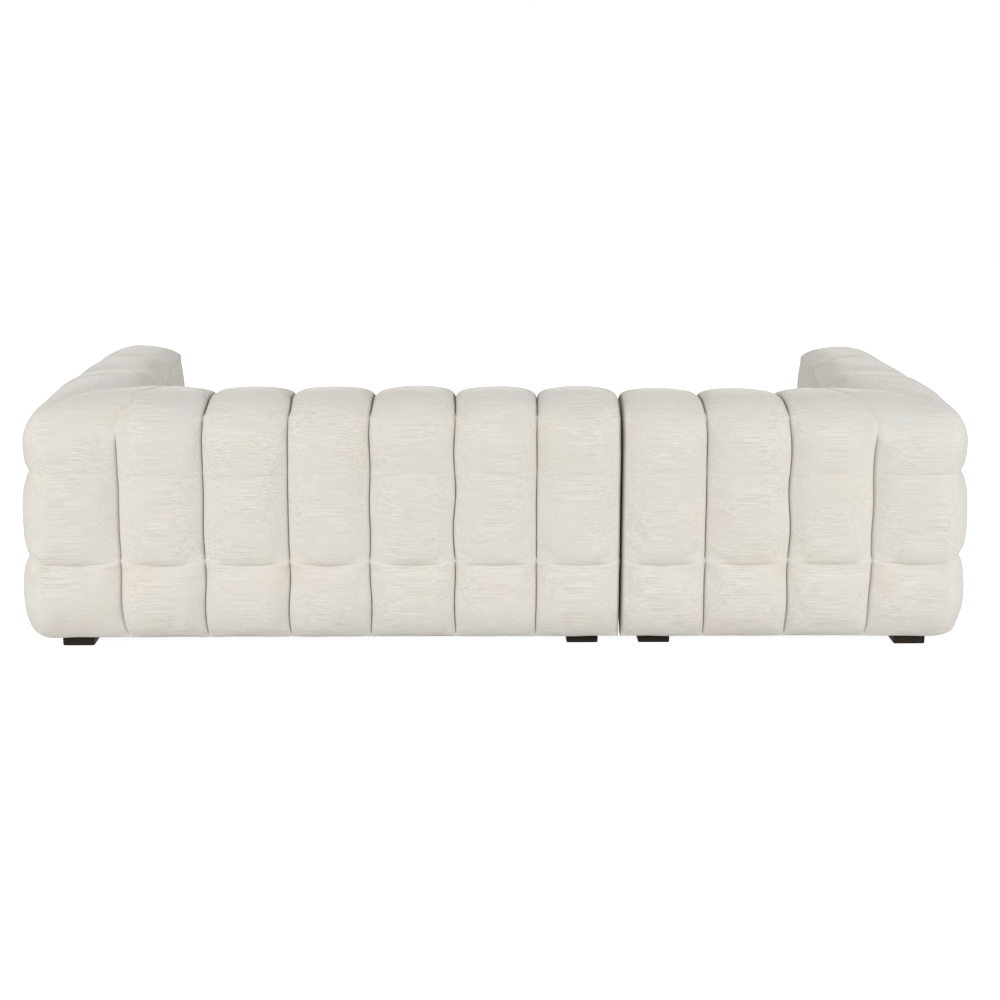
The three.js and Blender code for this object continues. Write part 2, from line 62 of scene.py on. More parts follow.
# The two modules. A mirrored one is built as its twin and turned over in X.
# "sink" lowers its crowns, "armKeep" and "armPeak" shape the outer side of its arm at the seams and in the rows,
# and "drift" moves an outer seam from its even place.
sides = {
    "two_seat": {
        "cushions": ["middle_cushion", "right_cushion"], "mirror": 1, "sink": 0.005,
        "armKeep": [0.15, 0.20, -0.22, 0.34], "armPeak": [1.0, 0.62, 0.34], "shoulder": 2.25,
        "drift": {2: -0.005, 3: -0.003, 4: -0.010, 5: -0.008, 6: -0.007},
    },
    "one_seat": {
        "cushions": ["left_cushion"], "mirror": -1, "sink": 0.011,
        "armKeep": [0.60, 0.24, 0.10, 0.60], "armPeak": [1.0, 1.08, 0.60], "shoulder": 2.55,
        "drift": {},
    },
}

# The walls. Their section runs from the hem up the outer face, over the crown and down the inner face.
wallPlan = {
    # The grid of seams in plan, and the points between them
    "columnPitch": 0.235, "seatColumns": 3, "sideColumns": 4, "middleRow": 0.245, "armDepth": 1.040,
    "backThickness": 0.260, "cornerRadius": 0.045, "contact": 0.0003, "columnSteps": 13, "crowding": 2.2,
    # Half way along a cell: bellies, crowns, shoulders and the tuck above the hem
    "belly": 0.025, "innerBelly": 0.024, "armInnerBelly": 0.0255, "armEdgeOut": 0.013, "armEdgeDrop": 0.030,
    "backCrown": 0.050, "armCrown": 0.064, "crownShare": 0.55, "shoulderDrop": 0.095, "shoulderPower": 1.9,
    "innerDrop": 0.057, "innerPower": 3.4, "bottomTuck": 0.018, "tuckHeight": 0.116,
    # At each level seam, from the hem up: the share of the belly that is left, and how the rows between them swell
    "levelKeep": [0.0, 0.58, 0.86, 1.0], "seamKeep": [0.0, 0.97, 0.95, 1.0], "frontKeep": [0.0, 0.45, 0.72, 1.0],
    "levelPower": [2.8, 2.8, 2.2, 2.0], "levelSharpness": [0.8, 0.62, 0.95, 1.0],
    "sag": 0.018, "sideRise": 0.018, "overhang": 0.006, "creaseDepth": 0.006, "faintDepth": 0.0006,
    # At the upright seams
    "seamDepth": 0.0095, "seamCrown": 0.012, "armSeamCrown": 0.046, "seamShoulderIn": 0.003,
    "seamShoulderPower": 2.2, "innerSeamIn": -0.006, "innerSeamDrop": 0.010, "wander": 0.0024,
    # How the cells fill towards their seams, and how far the cloth may swell
    "roll": 0.0065, "topRoll": 0.012, "shoulder": 0.030, "rollShare": 0.36, "shoulderShare": 0.22,
    "broadPower": 2.2, "pinchFill": 0.62, "pinchWidening": 0.7, "unevenFill": 0.06, "cap": 0.006,
    # How far each of these reaches: the turn at the corner, the arm's own shape, the top and its earlier start
    "turn": 0.05, "crownRun": 0.35, "armFrom": 0.25, "armTo": 0.90, "cornerReach": 0.06, "topFrom": 0.045,
    "earlyFrom": 0.120, "earlyTo": 0.035, "sagReach": 0.055, "overhangFrom": 0.030, "overhangTo": 0.075,
    # slitReach: how wide the painted shade in the slits over the top is
    "creaseReach": 0.0055, "faintReach": 0.005, "slitReach": 0.0032, "unevenReach": 0.05,
    "wanderLength": 0.28, "wanderReach": 0.045,
    # The stitches at the cell corners: how far below their seams, how wide and how strong
    "upperStitch": 0.010, "lowerStitch": 0.008, "stitchReach": 0.011, "middleReach": 0.010,
    # stitchShade: how dark the painted shade at the stitches is
    "lowerStrength": 0.8, "middleStrength": 0.30, "pinchFlattening": 0.7, "stitchShade": 0.25,
    # The mitre's fold, at its start and what the crown adds
    "mitreStart": 0.03, "mitreMore": 0.45,
    # The hem, also beside the split, and the arm's front
    "hemRise": 0.003, "hemHeight": 0.09, "hemReach": 0.018, "splitRise": 0.016, "splitIn": 0.008,
    "splitReach": 0.010, "frontRings": 16, "underRows": 12,
}
wall = SimpleNamespace(**wallPlan)


def ripples(seed, points, wavelength, waves=24):
    # A smooth field that wanders between about -1 and 1, summed from seeded plane waves.
    draw = np.random.default_rng(seed)
    points = np.asarray(points, float)
    heading = draw.normal(size=(waves, points.shape[-1]))
    heading /= np.linalg.norm(heading, axis=1, keepdims=True)
    heading *= (2 * math.pi / wavelength) * draw.uniform(0.6, 1.5, (waves, 1))
    phase = draw.uniform(0, 2 * math.pi, waves)
    return np.sin(points @ heading.T + phase).sum(-1) * math.sqrt(2 / waves) / 1.6


def bell(value, middle, reach):
    return np.exp(-(((value - middle) / reach) ** 2))


def ease(value, low, high):
    share = np.clip((value - low) / (high - low), 0, 1)
    return share * share * (3 - 2 * share)


def mix(first, second, share):
    return first + (second - first) * share


def crowded(start, end, count, power, at="both"):
    # Places from start to end, both included, close together at the named end or at both.
    share = np.linspace(0, 1, count + 1)
    if at == "both":
        share = np.where(share < 0.5, (2 * share) ** power / 2, 1 - (2 - 2 * share) ** power / 2)
    elif at == "start":
        share = share ** power
    else:
        share = 1 - (1 - share) ** power
    return mix(start, end, share)


def joined(*runs):
    return np.unique(np.round(np.concatenate(runs), 7))


def between(stops, count, power):
    # Places along a row of cells, close together at each seam.
    return joined(*(crowded(low, high, count, power) for low, high in zip(stops, stops[1:])))


def cellOf(edges, places):
    # The cell between two seams that each place lies in: number, share across, distance to a seam, width.
    edges = np.asarray(edges)
    number = np.clip(np.searchsorted(edges, places, "right") - 1, 0, len(edges) - 2)
    width = edges[number + 1] - edges[number]
    share = np.clip((places - edges[number]) / width, 0, 1)
    distance = np.clip(np.minimum(places - edges[number], edges[number + 1] - places), 0, None)
    return number, share, distance, width


def rolled(distance, reach):
    # A quarter round that rises from a seam.
    return np.sqrt(1 - (1 - np.clip(distance / reach, 0, 1)) ** 2)


def arch(share, power, sharpness):
    # A swell that is 0 at both ends of a share and 1 half way.
    return np.clip(1 - np.abs(2 * share - 1) ** power, 0, 1) ** sharpness


def plump(distance, width, roll, rollShare):
    # How full a cell is near its seams: a tight roll first, then a wider shoulder, then a broad swell.
    share = wall.shoulderShare
    broad = 1 - (1 - np.clip(2 * distance / width, 0, 1)) ** wall.broadPower
    edges = rollShare * rolled(distance, roll) + share * rolled(distance, wall.shoulder)
    return edges + (1 - rollShare - share) * broad


def tuckedUnder(heights, bottom):
    # How far the cloth draws in towards the hem.
    return wall.bottomTuck * np.clip(1 - (heights - bottom) / wall.tuckHeight, 0, 1) ** 2


def raised(flat, height):
    # Points of a plan at their heights.
    return np.concatenate([flat, np.broadcast_to(height, flat.shape[:-1])[..., None]], -1)


def quarter(count, power):
    # A rounded quarter from upright to level, as shares forward and up.
    angle = np.linspace(0, math.pi / 2, count)
    return 1 - np.cos(angle) ** (2 / power), np.sin(angle) ** (2 / power)


def placed(name, data):
    # A mesh, a lamp or a camera as an object of the scene.
    made = bpy.data.objects.new(name, data)
    bpy.context.scene.collection.objects.link(made)
    return made


def reworked(mesh, change):
    # Changes a mesh by Blender's mesh operators.
    work = bmesh.new()
    work.from_mesh(mesh)
    change(work)
    work.to_mesh(mesh)
    work.free()


def meshFrom(name, grids, materials, weld=1e-6, flip=False, **fields):
    # A mesh object from grids of points. Each grid is (points, slot of each column of faces).
    # A field holds one value for each point, such as how firmly it is held or how much painted shade it gets in a
    # seam.
    points, faces, slots = [], [], []
    first = 0
    for grid, columnSlots in grids:
        columns, rows = grid.shape[:2]
        number = np.arange(columns * rows).reshape(columns, rows) + first
        first += columns * rows
        quads = np.stack([number[:-1, :-1], number[1:, :-1], number[1:, 1:], number[:-1, 1:]], -1)
        points.append(grid.reshape(-1, 3))
        faces.append((quads[..., ::-1] if flip else quads).reshape(-1, 4))
        slots.append(np.repeat(columnSlots, rows - 1))
    mesh = bpy.data.meshes.new(name)
    mesh.from_pydata(np.concatenate(points).tolist(), [], np.concatenate(faces).tolist())
    mesh.polygons.foreach_set("material_index", np.concatenate(slots).astype(np.int32))
    mesh.polygons.foreach_set("use_smooth", np.ones(len(mesh.polygons), bool))
    for material in materials:
        mesh.materials.append(material)
    for key, values in fields.items():
        mesh.attributes.new(key, "FLOAT", "POINT").data.foreach_set("value", values)
    reworked(mesh, lambda work: bmesh.ops.remove_doubles(work, verts=work.verts, dist=weld))
    return placed(name, mesh)


def pointsOf(mesh):
    flat = np.empty(len(mesh.vertices) * 3)
    mesh.vertices.foreach_get("co", flat)
    return flat.reshape(-1, 3)


def fieldOf(mesh, key):
    values = np.empty(len(mesh.vertices), np.float32)
    mesh.attributes[key].data.foreach_get("value", values)
    return values


def evaluated(piece):
    return piece.evaluated_get(bpy.context.evaluated_depsgraph_get())


def smoothed(piece):
    # Makes a piece's mesh one step finer and rounder.
    finer = piece.modifiers.new("finer", "SUBSURF")
    finer.levels = finer.render_levels = 1
    mesh = bpy.data.meshes.new_from_object(evaluated(piece))
    piece.modifiers.clear()
    piece.data = mesh
    return piece


# How the cloth of the padded pieces swells between its seams
swelling = {"frames": 20, "pressure": 4.0, "grown": 0.02, "stiffness": 15.0, "bins": 12}


def swollen(piece, held, cap):
    # Blows a piece up as cloth whose seams are held, and lets no point move further than the cap.
    held = np.clip(held, 0, 1)
    before = pointsOf(piece.data)
    bins, frames = swelling["bins"], swelling["frames"]
    group = piece.vertex_groups.new(name="held")
    level = np.rint(held * bins).astype(int)
    for step in range(1, bins + 1):
        group.add(np.flatnonzero(level == step).tolist(), step / bins, "REPLACE")
    cloth = piece.modifiers.new("cloth", "CLOTH")
    cloth.settings.vertex_group_mass = "held"
    cloth.settings.use_pressure = True
    cloth.settings.uniform_pressure_force = swelling["pressure"]
    cloth.settings.shrink_min = -swelling["grown"]
    cloth.settings.tension_stiffness = cloth.settings.compression_stiffness = swelling["stiffness"]
    cloth.settings.effector_weights.gravity = 0
    cloth.collision_settings.use_collision = False
    cloth.point_cache.frame_end = frames
    for number in range(1, frames + 1):
        bpy.context.scene.frame_set(number)
    shown = evaluated(piece)
    moved = pointsOf(shown.data) - before
    piece.modifiers.clear()
    piece.vertex_groups.clear()
    far = np.linalg.norm(moved, axis=1, keepdims=True)
    moved *= np.tanh(far / cap) * cap / np.maximum(far, 1e-9)
    piece.data.vertices.foreach_set("co", (before + moved * (1 - held)[:, None]).ravel())
    piece.data.update()
    bpy.context.scene.frame_set(1)
    print("swollen:", piece.name, "moved up to", round(float(far.max()), 4))


def moduleSizes(name):
    # Where a module's faces lie. X is counted from the split towards the arm.
    side = sides[name]
    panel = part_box(name + "_split_panel")
    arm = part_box(name + "_arm_cover")
    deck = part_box(name + "_deck")
    near, far = (0, 1) if side["mirror"] > 0 else (1, 0)
    origin = panel[near].x
    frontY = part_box("left_cushion_cover")[0].y
    rearY = frontY + wall.armDepth
    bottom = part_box(name + "_dust_cover")[1].z + wall.contact
    deckZ = deck[1].z
    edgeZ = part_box(name + "_back_cover")[1].z - wall.backCrown
    startZ = edgeZ - wall.shoulderDrop
    return SimpleNamespace(
        **side, name=name, origin=origin, columns=wall.seatColumns * len(side["cushions"]),
        length=abs(arm[far].x - origin) - wall.belly, innerX=abs(deck[far].x - origin) + wall.contact,
        frontY=frontY, rearY=rearY, innerY=rearY - wall.backThickness, bottom=bottom, deckZ=deckZ, edgeZ=edgeZ,
        startZ=startZ, levels=np.array([bottom, deckZ, deckZ + wall.middleRow, startZ]),
        seatZ=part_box(side["cushions"][0] + "_cover")[1].z,
    )


def toWorld(sizes, points):
    return points * np.array([sizes.mirror, 1, 1]) + np.array([sizes.origin, 0, 0])


def wallPlaces(sizes):
    # Seams of the outer faces, of the top and of the inner face, and the columns of points along the outer face.
    columns, length = sizes.columns, sizes.length
    back = [wall.columnPitch * i for i in range(columns + 1)]
    side = [length + wall.armDepth / wall.sideColumns * i for i in range(1, wall.sideColumns + 1)]
    top = np.array(back[:-1] + [length] + side[1:])
    innerBack = [sizes.innerX * i / columns for i in range(columns + 1)]
    innerSide = [sizes.innerX + (place - length) - wall.backThickness for place in side[1:]]
    places = between(sorted({*back, *side, length}), 2 * wall.columnSteps, wall.crowding)
    return np.array(back + side), top, np.array(innerBack + innerSide), places


def wallOutline(sizes, places, top, inner):
    # Outer and inner points of the wall in plan, and the way that its outer face looks.
    radius, length = wall.cornerRadius, sizes.length
    along = places - length
    turned = np.where(
        along <= 0,
        np.clip(along / radius + 1, 0, 1) * math.pi / 4,
        math.pi / 2 - (1 - np.clip(along / radius, 0, 1)) * math.pi / 4,
    )
    outward = np.stack([np.sin(turned), np.cos(turned)], -1)
    centre = np.stack([np.minimum(places, length - radius), sizes.rearY - np.maximum(along, radius)], -1)
    innerPlace = np.interp(places, top, inner)
    onBack = np.minimum(innerPlace, sizes.innerX)
    onArm = np.maximum(innerPlace - sizes.innerX, 0)
    return centre + outward * radius, np.stack([onBack, sizes.innerY - onArm], -1), outward


def rowFullness(levels, z, keep=wall.levelKeep, peak=(1, 1, 1)):
    # Share of the belly on an outer face: what is kept at each level seam, and the peak of each row between.
    number, share, _, _ = cellOf(levels, z)
    sharpness, power = np.array(wall.levelSharpness), np.array(wall.levelPower)
    keep, peak = np.array(keep), np.array(peak)
    left = mix(keep[number], keep[number + 1], share)
    sharp = mix(sharpness[number], sharpness[number + 1], share)
    # The top row has no lower half: it stays full from its middle on
    across = np.where(number == 2, share / 2, share)
    swell = arch(across, mix(power[number], power[number + 1], share), sharp)
    return left + (peak[number] - left) * swell


def overTop(width, start, crown, end, powers, onSide, onArm):
    # The section over the top, from (inward, height) on the outer face over the crown to the inner face.
    plain, corner = (np.array(quarter(17, power))[:, None] for power in (powers[0], powers[2]))
    forward, rise = mix(plain, corner, (onSide * (1 - onArm))[:, None])
    backward, drop = (values[::-1] for values in quarter(15, powers[1]))
    crownIn = (wall.crownShare * width)[:, None]
    crownZ, startIn, endZ = crown[:, None], start[0][:, None], end[1][:, None]
    outer = startIn + (crownIn - startIn) * forward, start[1] + (crownZ - start[1]) * rise
    endIn = width[:, None] + end[0]
    # An arm keeps a sharp inner edge: a shallow dome as far as its corner
    domed = np.linspace(0, 1, len(drop))[1:]
    across = mix(1 - backward[1:], 1 - (1 - domed) ** 1.3, onArm[:, None])
    fall = mix(drop[1:], 1 - domed ** 2.2, onArm[:, None])
    inner = crownIn + (endIn - crownIn) * across, endZ + (crownZ - endZ) * fall
    return np.concatenate([outer[0], inner[0]], 1), np.concatenate([outer[1], inner[1]], 1)


def wallRows(sizes):
    # Heights of the rows up the outer face.
    bottom, deckZ, secondZ, startZ = sizes.levels
    return joined(
        bottom + np.array([0.009, 0.016, 0.026]),
        crowded(bottom + 0.040, deckZ, 12, 2.0, "end"),
        crowded(deckZ, secondZ, 22, 1.9),
        crowded(secondZ, startZ, 6, 1.5, "start"),
    )[:-1]


def sections(sizes, width, crown, midCell, onSide, onArm):
    # Inward distance and height of every row, half way along a cell and at a seam.
    bottom, deckZ, _, startZ = sizes.levels
    rising = wallRows(sizes)
    edgeZ, seatZ, shape = sizes.edgeZ, sizes.seatZ, (len(width), 1)
    tuck = tuckedUnder(rising, bottom)
    # On the back the lowest level seam fades out towards its tufts
    atTuft = rowFullness(sizes.levels, rising, wall.seamKeep)
    backFull = mix(atTuft, rowFullness(sizes.levels, rising), midCell[:, None])
    armFull = rowFullness(sizes.levels, rising, sizes.armKeep, sizes.armPeak)
    full = tuck - wall.belly * mix(backFull, armFull, onSide[:, None])
    seam = np.tile(tuck + wall.seamDepth, shape)
    # The hem turns under round a welt that hides the edge of the dust cover
    hemIn = wall.bottomTuck + np.array([0.050, 0.024, 0.0125, 0.0115, 0.0090, 0.0050, 0.0020])
    hemZ = bottom + np.array([-0.15, -0.15, -0.15, -0.5, -0.9, -0.8, 0.5]) * 0.001
    hemIn, hemZ = np.tile(hemIn, shape), np.tile(hemZ, shape)
    innerTop = mix(edgeZ - wall.innerDrop, edgeZ + crown - wall.armEdgeDrop, onArm)[:, None]
    fallen = joined([0, 0.004, 0.014, 0.034], crowded(0.07, 1, 11, 1.3, "end"))[1:]
    falling = mix(innerTop, seatZ, fallen)
    # The inner face swells below its edge, and its cloth ends behind the seat
    topSwell = wall.innerBelly * (1 - fallen ** 2.6) ** 0.7
    lowSwell = wall.armInnerBelly * arch(fallen, 2.4, 0.8)
    lowSwell = np.maximum(lowSwell, wall.armEdgeOut * (1 - fallen))
    innerFull = mix(topSwell, lowSwell, onArm[:, None])
    hidden = joined(crowded(bottom, deckZ, 10, 1.4), crowded(deckZ, seatZ, 8, 1.4))[::-1][1:]
    flat = np.zeros((len(width), len(hidden)))
    innerFull = np.concatenate([innerFull, flat], 1)
    falling = np.concatenate([falling, np.tile(hidden, shape)], 1)
    startIn = -wall.belly * mix(1, sizes.armPeak[2], onSide)
    endIn = mix(wall.innerBelly, wall.armEdgeOut, onArm)[:, None]
    topFull = overTop(
        width, (startIn, startZ), edgeZ + crown, (endIn, innerTop[:, 0]),
        (wall.shoulderPower, wall.innerPower, sizes.shoulder), onSide, onArm,
    )
    seamCrown = edgeZ + mix(wall.seamCrown, wall.armSeamCrown, onArm)
    seamStart = np.full(len(width), wall.seamDepth + wall.seamShoulderIn)
    topSeam = overTop(
        width, (seamStart, startZ), seamCrown, (wall.innerSeamIn, innerTop[:, 0] - wall.innerSeamDrop),
        (wall.seamShoulderPower, wall.innerPower, sizes.shoulder), onSide, onArm,
    )
    innerSeam = np.concatenate([np.full((len(width), len(fallen)), wall.innerSeamIn), flat], 1)

    def whole(outer, top, inner):
        inward = np.concatenate([hemIn, outer, top[0], width[:, None] + inner], 1)
        height = np.concatenate([hemZ, np.tile(rising, shape), top[1], falling], 1)
        return inward, height

    counts = (hemIn.shape[1], len(rising), topFull[0].shape[1], falling.shape[1])
    return whole(full, topFull, innerFull), whole(seam, topSeam, innerSeam), counts


def wallGrid(sizes):
    # Points of both walls of a module, from the split round the corner to the arm's front edge.
    outerSeams, topSeams, innerSeams, places = wallPlaces(sizes)
    outerPoint, innerPoint, outward = wallOutline(sizes, places, topSeams, innerSeams)
    width = np.linalg.norm(innerPoint - outerPoint, axis=1)
    bottom, deckZ, secondZ, _ = sizes.levels
    length, edgeZ = sizes.length, sizes.edgeZ
    rising = ease(places, length - wall.turn, length + wall.crownRun)
    crown = mix(wall.backCrown, wall.armCrown, rising) - sizes.sink
    onSide = ease(places, length - wall.turn, length + wall.turn)
    onArm = ease(places, length + wall.armFrom, length + wall.armTo)
    outerCell, outerShare, near, wide = cellOf(outerSeams, places)
    topNear, topWide = cellOf(topSeams, places)[2:]
    # A level seam shows only half way between its tufts, and fades at the corner as at a tuft
    faceShare = cellOf(sorted([*outerSeams, length]), places)[1]
    midway = 4 * faceShare * (1 - faceShare)
    midCell = ease(midway, 0.40, 1.0)
    (fullIn, fullZ), (seamIn, seamZ), counts = sections(sizes, width, crown, midCell, onSide, onArm)
    hemCount, outerCount, topCount, innerCount = counts
    seamNumber = np.rint(np.interp(places, outerSeams, np.arange(len(outerSeams)))).astype(int)
    drift = np.interp(places, outerSeams, [sizes.drift.get(i, 0.0) for i in range(len(outerSeams))])
    corner = bell(places, outerSeams[sizes.columns], wall.cornerReach)
    # What belongs to a column of points stands upright from here on, what belongs to a row lies level
    width, near, wide, topNear, topWide, midway, onSide, seamNumber, drift, corner, column = (
        values[:, None]
        for values in (width, near, wide, topNear, topWide, midway, onSide, seamNumber, drift, corner, places)
    )

    # Where each row lies: its height at a full cell, and how far it belongs to the outer face and to the top
    nominalZ = fullZ[0]
    topRow = np.arange(topCount)
    lowCount = hemCount + outerCount
    topFrom = edgeZ - wall.topFrom
    onTop = np.concatenate([
        np.zeros(hemCount), ease(nominalZ[hemCount:lowCount], topFrom, edgeZ + 0.01),
        ease(nominalZ[lowCount:][:topCount] + 0.1 * (topRow > 16), topFrom, edgeZ + 0.012),
        np.ones(innerCount),
    ])
    isOuter = np.concatenate([np.ones(lowCount), 1 - ease(topRow, 10, 17), np.zeros(innerCount)])
    overCrown = np.concatenate([np.zeros(lowCount), ease(topRow, 9, 17), np.ones(innerCount)])

    # The seam next to the corner dies away before it reaches the top
    early = np.where(isOuter > 0.5, ease(nominalZ, edgeZ - wall.earlyFrom, edgeZ - wall.earlyTo), onTop)
    onTop = mix(onTop, np.maximum(early, onTop), corner)

    # The stitches at the cell corners hold the seam shallow, with a wide mouth
    upper = bell(nominalZ, edgeZ - wall.upperStitch, wall.stitchReach) * (1 - corner)
    middle = wall.middleStrength * bell(nominalZ, secondZ, wall.middleReach)
    lower = bell(nominalZ, deckZ - wall.lowerStitch, wall.stitchReach) + middle
    pinch = np.clip(upper + wall.lowerStrength * lower, 0, 1) * isOuter
    rollShare = wall.rollShare * (1 - wall.pinchFlattening * pinch)
    outerRoll = wall.roll * (1 + wall.pinchWidening * pinch)
    outerPlump = plump(near, wide, outerRoll, rollShare)
    topRoll = np.maximum(mix(wall.roll, wall.topRoll, onTop), outerRoll)
    topPlump = plump(topNear, topWide, topRoll, rollShare)

    # The mitre is a soft fold that only starts on top
    atMitre = np.abs(column - length) <= topNear + 1e-9
    topPlump = np.where(atMitre, mix(1, topPlump, wall.mitreStart + wall.mitreMore * overCrown), topPlump)
    fill = mix(outerPlump, topPlump, onTop)
    fill = 1 - (1 - fill) * (1 - wall.pinchFill * pinch)

    draw = np.random.default_rng(len(outerSeams))
    cellFill = 1 + wall.unevenFill * draw.uniform(-1, 1, (len(outerSeams), 4))
    rowNumber = np.searchsorted([deckZ, secondZ, edgeZ], nominalZ)
    uneven = mix(1, cellFill[outerCell][:, rowNumber], np.minimum(1, near / wall.unevenReach) * isOuter)
    inward, height = mix(seamIn, fullIn, fill * uneven), mix(seamZ, fullZ, fill)

    # The hem rises a little at each seam, and more at the split
    lowRow = np.clip(1 - (nominalZ - bottom) / wall.hemHeight, 0, 1) ** 2 * isOuter * (nominalZ > bottom)
    atSplit = np.exp(-column / wall.splitReach)
    atSeam = np.exp(-near / wall.hemReach)
    height = height + np.maximum(wall.hemRise * atSeam, wall.splitRise * atSplit) * lowRow
    inward = inward + wall.splitIn * atSplit * lowRow

    # The lower level seam hangs down between its tufts, and the cell above it hangs over
    smile = midway ** 0.8
    hang = wall.sag * smile - wall.sideRise * onSide
    up = nominalZ - deckZ
    above = np.clip(up / wall.overhangFrom, 0, 1) * np.clip(1 - up / wall.overhangTo, 0, 1)
    height = height - hang * bell(nominalZ, deckZ, wall.sagReach) * isOuter
    height = height - wall.overhang * smile * (above * isOuter)
    fold = ease(smile, 0.45, 1.0) * bell(nominalZ, deckZ, wall.creaseReach) * isOuter
    faint = ease(smile, 0.40, 0.9) * bell(nominalZ, secondZ, wall.faintReach) * isOuter
    inward = inward + wall.creaseDepth * fold + wall.faintDepth * faint

    flat = mix(outerPoint[:, None], innerPoint[:, None], np.clip(inward / width, 0, 1)[..., None])
    beyond = np.maximum(-inward, 0) - np.maximum(inward - width, 0)
    flat = flat + outward[:, None] * beyond[..., None]

    # Seams wander a little along the wall
    tangent = np.stack([outward[:, 1], -outward[:, 0]], -1)
    wander = np.zeros_like(inward)
    for number in range(1, len(outerSeams) - 1):
        path = ripples(40 + number, nominalZ[:, None], wall.wanderLength, 6)
        wander += wall.wander * path * ((seamNumber == number) * bell(near, 0, wall.wanderReach))
    flat = flat + tangent[:, None] * (wander + drift * isOuter)[..., None]
    # Painted shade where the cloth sinks in: its colour is darkened in the slits over the top, at the stitches and
    # beside the split
    slitShade = bell(topNear, 0, wall.slitReach) * onTop * (1 - atMitre * 0.9) * (1 - 0.9 * pinch)
    crease = np.clip(slitShade + wall.stitchShade * pinch * bell(near, 0, 0.006) + bell(column, 0, 0.004), 0, 1)
    return raised(flat, height), SimpleNamespace(
        places=places, cell=np.searchsorted(outerSeams, places)[:, None], near=near, share=outerShare[:, None],
        nominalZ=nominalZ, isOuter=isOuter, fill=fill, counts=counts, pinch=pinch, crease=crease, corner=corner,
        mitre=bell(column, length, 0.05) * (1 - isOuter),
    )


# How deep the small folds beside the seams are, the uneven filling and the puckers round the stitches
wrinkles = {"folds": 0.0008, "uneven": 0.0014, "lumps": 0.0005, "puckers": 0.0008}


def wrinkled(grid, info, sizes):
    # Small folds that run out of the upright seams, puckers round the stitches, and an uneven filling.
    normal = -np.cross(np.gradient(grid, axis=0), np.gradient(grid, axis=1))
    normal /= np.maximum(np.linalg.norm(normal, axis=-1, keepdims=True), 1e-12)
    near, nominalZ, cell = info.near, info.nominalZ, info.cell
    fade = np.exp(-near / 0.035) * (1 - np.exp(-near / 0.007))
    lines = np.stack(np.broadcast_arrays(cell * 3.1 + (info.share > 0.5) * 1.7, nominalZ), -1)
    folds = ripples(7, lines, 0.034, 20) * fade * info.isOuter
    uneven = ripples(11, grid, 0.16, 30) * info.fill
    lumps = ripples(12, grid, 0.07, 30) * info.fill
    puckers = np.zeros_like(folds)
    levels = [*sizes.levels[1:3], sizes.edgeZ]
    for level, reach, strength in zip(levels, (0.026, 0.016, 0.020), (1, 0.3, 1)):
        down = nominalZ - level
        angle = np.arctan2(down, near + 0.002)
        # None at the top of the seam that dies away at the corner
        kept = 1 - info.corner * (level > sizes.startZ)
        ring = bell(np.sqrt(near ** 2 + down ** 2), reach, 0.014) * kept
        puckers += strength * ring * np.cos(angle * 11 + cell * 2.3) * info.isOuter
    push = wrinkles["folds"] * folds + wrinkles["uneven"] * uneven
    push = push + wrinkles["lumps"] * lumps + wrinkles["puckers"] * puckers
    return grid + normal * push[..., None]


def shrunkTo(column, middle, keep, low, high):
    # An end column drawn towards the upright line through middle.
    ring = column.copy()
    ring[:, :2] = middle + (column[:, :2] - middle) * keep
    z = column[:, 2]
    ring[:, 2] = np.where(z > high, high + (z - high) * keep, np.where(z < low, low + (z - low) * keep, z))
    return ring


def splitEnd(grid, sizes):
    # The flat end at the split turns in behind the rim of the split panel.
    column = grid[0]
    middle = np.array([0, (sizes.innerY + sizes.rearY) / 2])
    low, high = sizes.bottom + 0.05, sizes.edgeZ - 0.03
    rings = []
    for keep, depth in ((0, 0.001), (0.5, 0.001), (0.85, 0.001), (0.95, 0.0008), (0.985, 0.0004)):
        ring = shrunkTo(column, middle, keep, low, high)
        ring[:, 0] = depth
        rings.append(ring)
    return np.stack(rings)


def armFront(grid, sizes):
    # The tufted front of the arm: closed rings that shrink to its middle and swell forward.
    column = grid[-1]
    under = np.linspace(column[-1], column[0], wall.underRows)[1:]
    under[:, 2] = sizes.bottom - wall.contact / 2
    column = np.concatenate([column, under])
    middle = np.array([(sizes.length + sizes.innerX) / 2, sizes.frontY])
    half = (sizes.length - sizes.innerX) / 2
    low, high = sizes.bottom + 0.06, sizes.edgeZ - 0.05
    shallow = wall.seamDepth * 0.6
    rings = [column]
    for gone in crowded(0, 1, wall.frontRings, 1.9, "start")[1:]:
        ring = shrunkTo(column, middle, 1 - gone, low, high)
        z = np.clip(ring[:, 2], sizes.bottom, sizes.startZ)
        rows = rowFullness(sizes.levels, z, wall.frontKeep)
        swell = plump(gone * half, 2 * half, wall.roll * 1.6, 0.38)
        fold = bell(ring[:, 2], sizes.deckZ - 0.4 * wall.sag, 0.006) * ease(gone, 0.2, 0.8)
        drawn = tuckedUnder(z, sizes.bottom)
        forward = ((wall.belly + shallow) * rows - shallow) * swell
        ring[:, 1] += wall.creaseDepth * fold + drawn * swell - forward
        rings.append(ring)
    return np.stack(rings)


def keepOnly(mesh, slots):
    # Deletes the faces that have other slots.
    reworked(mesh, lambda work: bmesh.ops.delete(
        work, geom=[face for face in work.faces if face.material_index not in slots], context="FACES",
    ))


# How firmly the walls' cloth is held while it swells, from 0 to 1, and how far each hold reaches
holding = {
    "fullCell": 1.15, "seamReach": 0.006, "stitch": 0.9, "stitchReach": 0.03, "mitre": 0.8,
    "levelSeam": 0.8, "levelReach": 0.016, "armFront": 0.55,
}


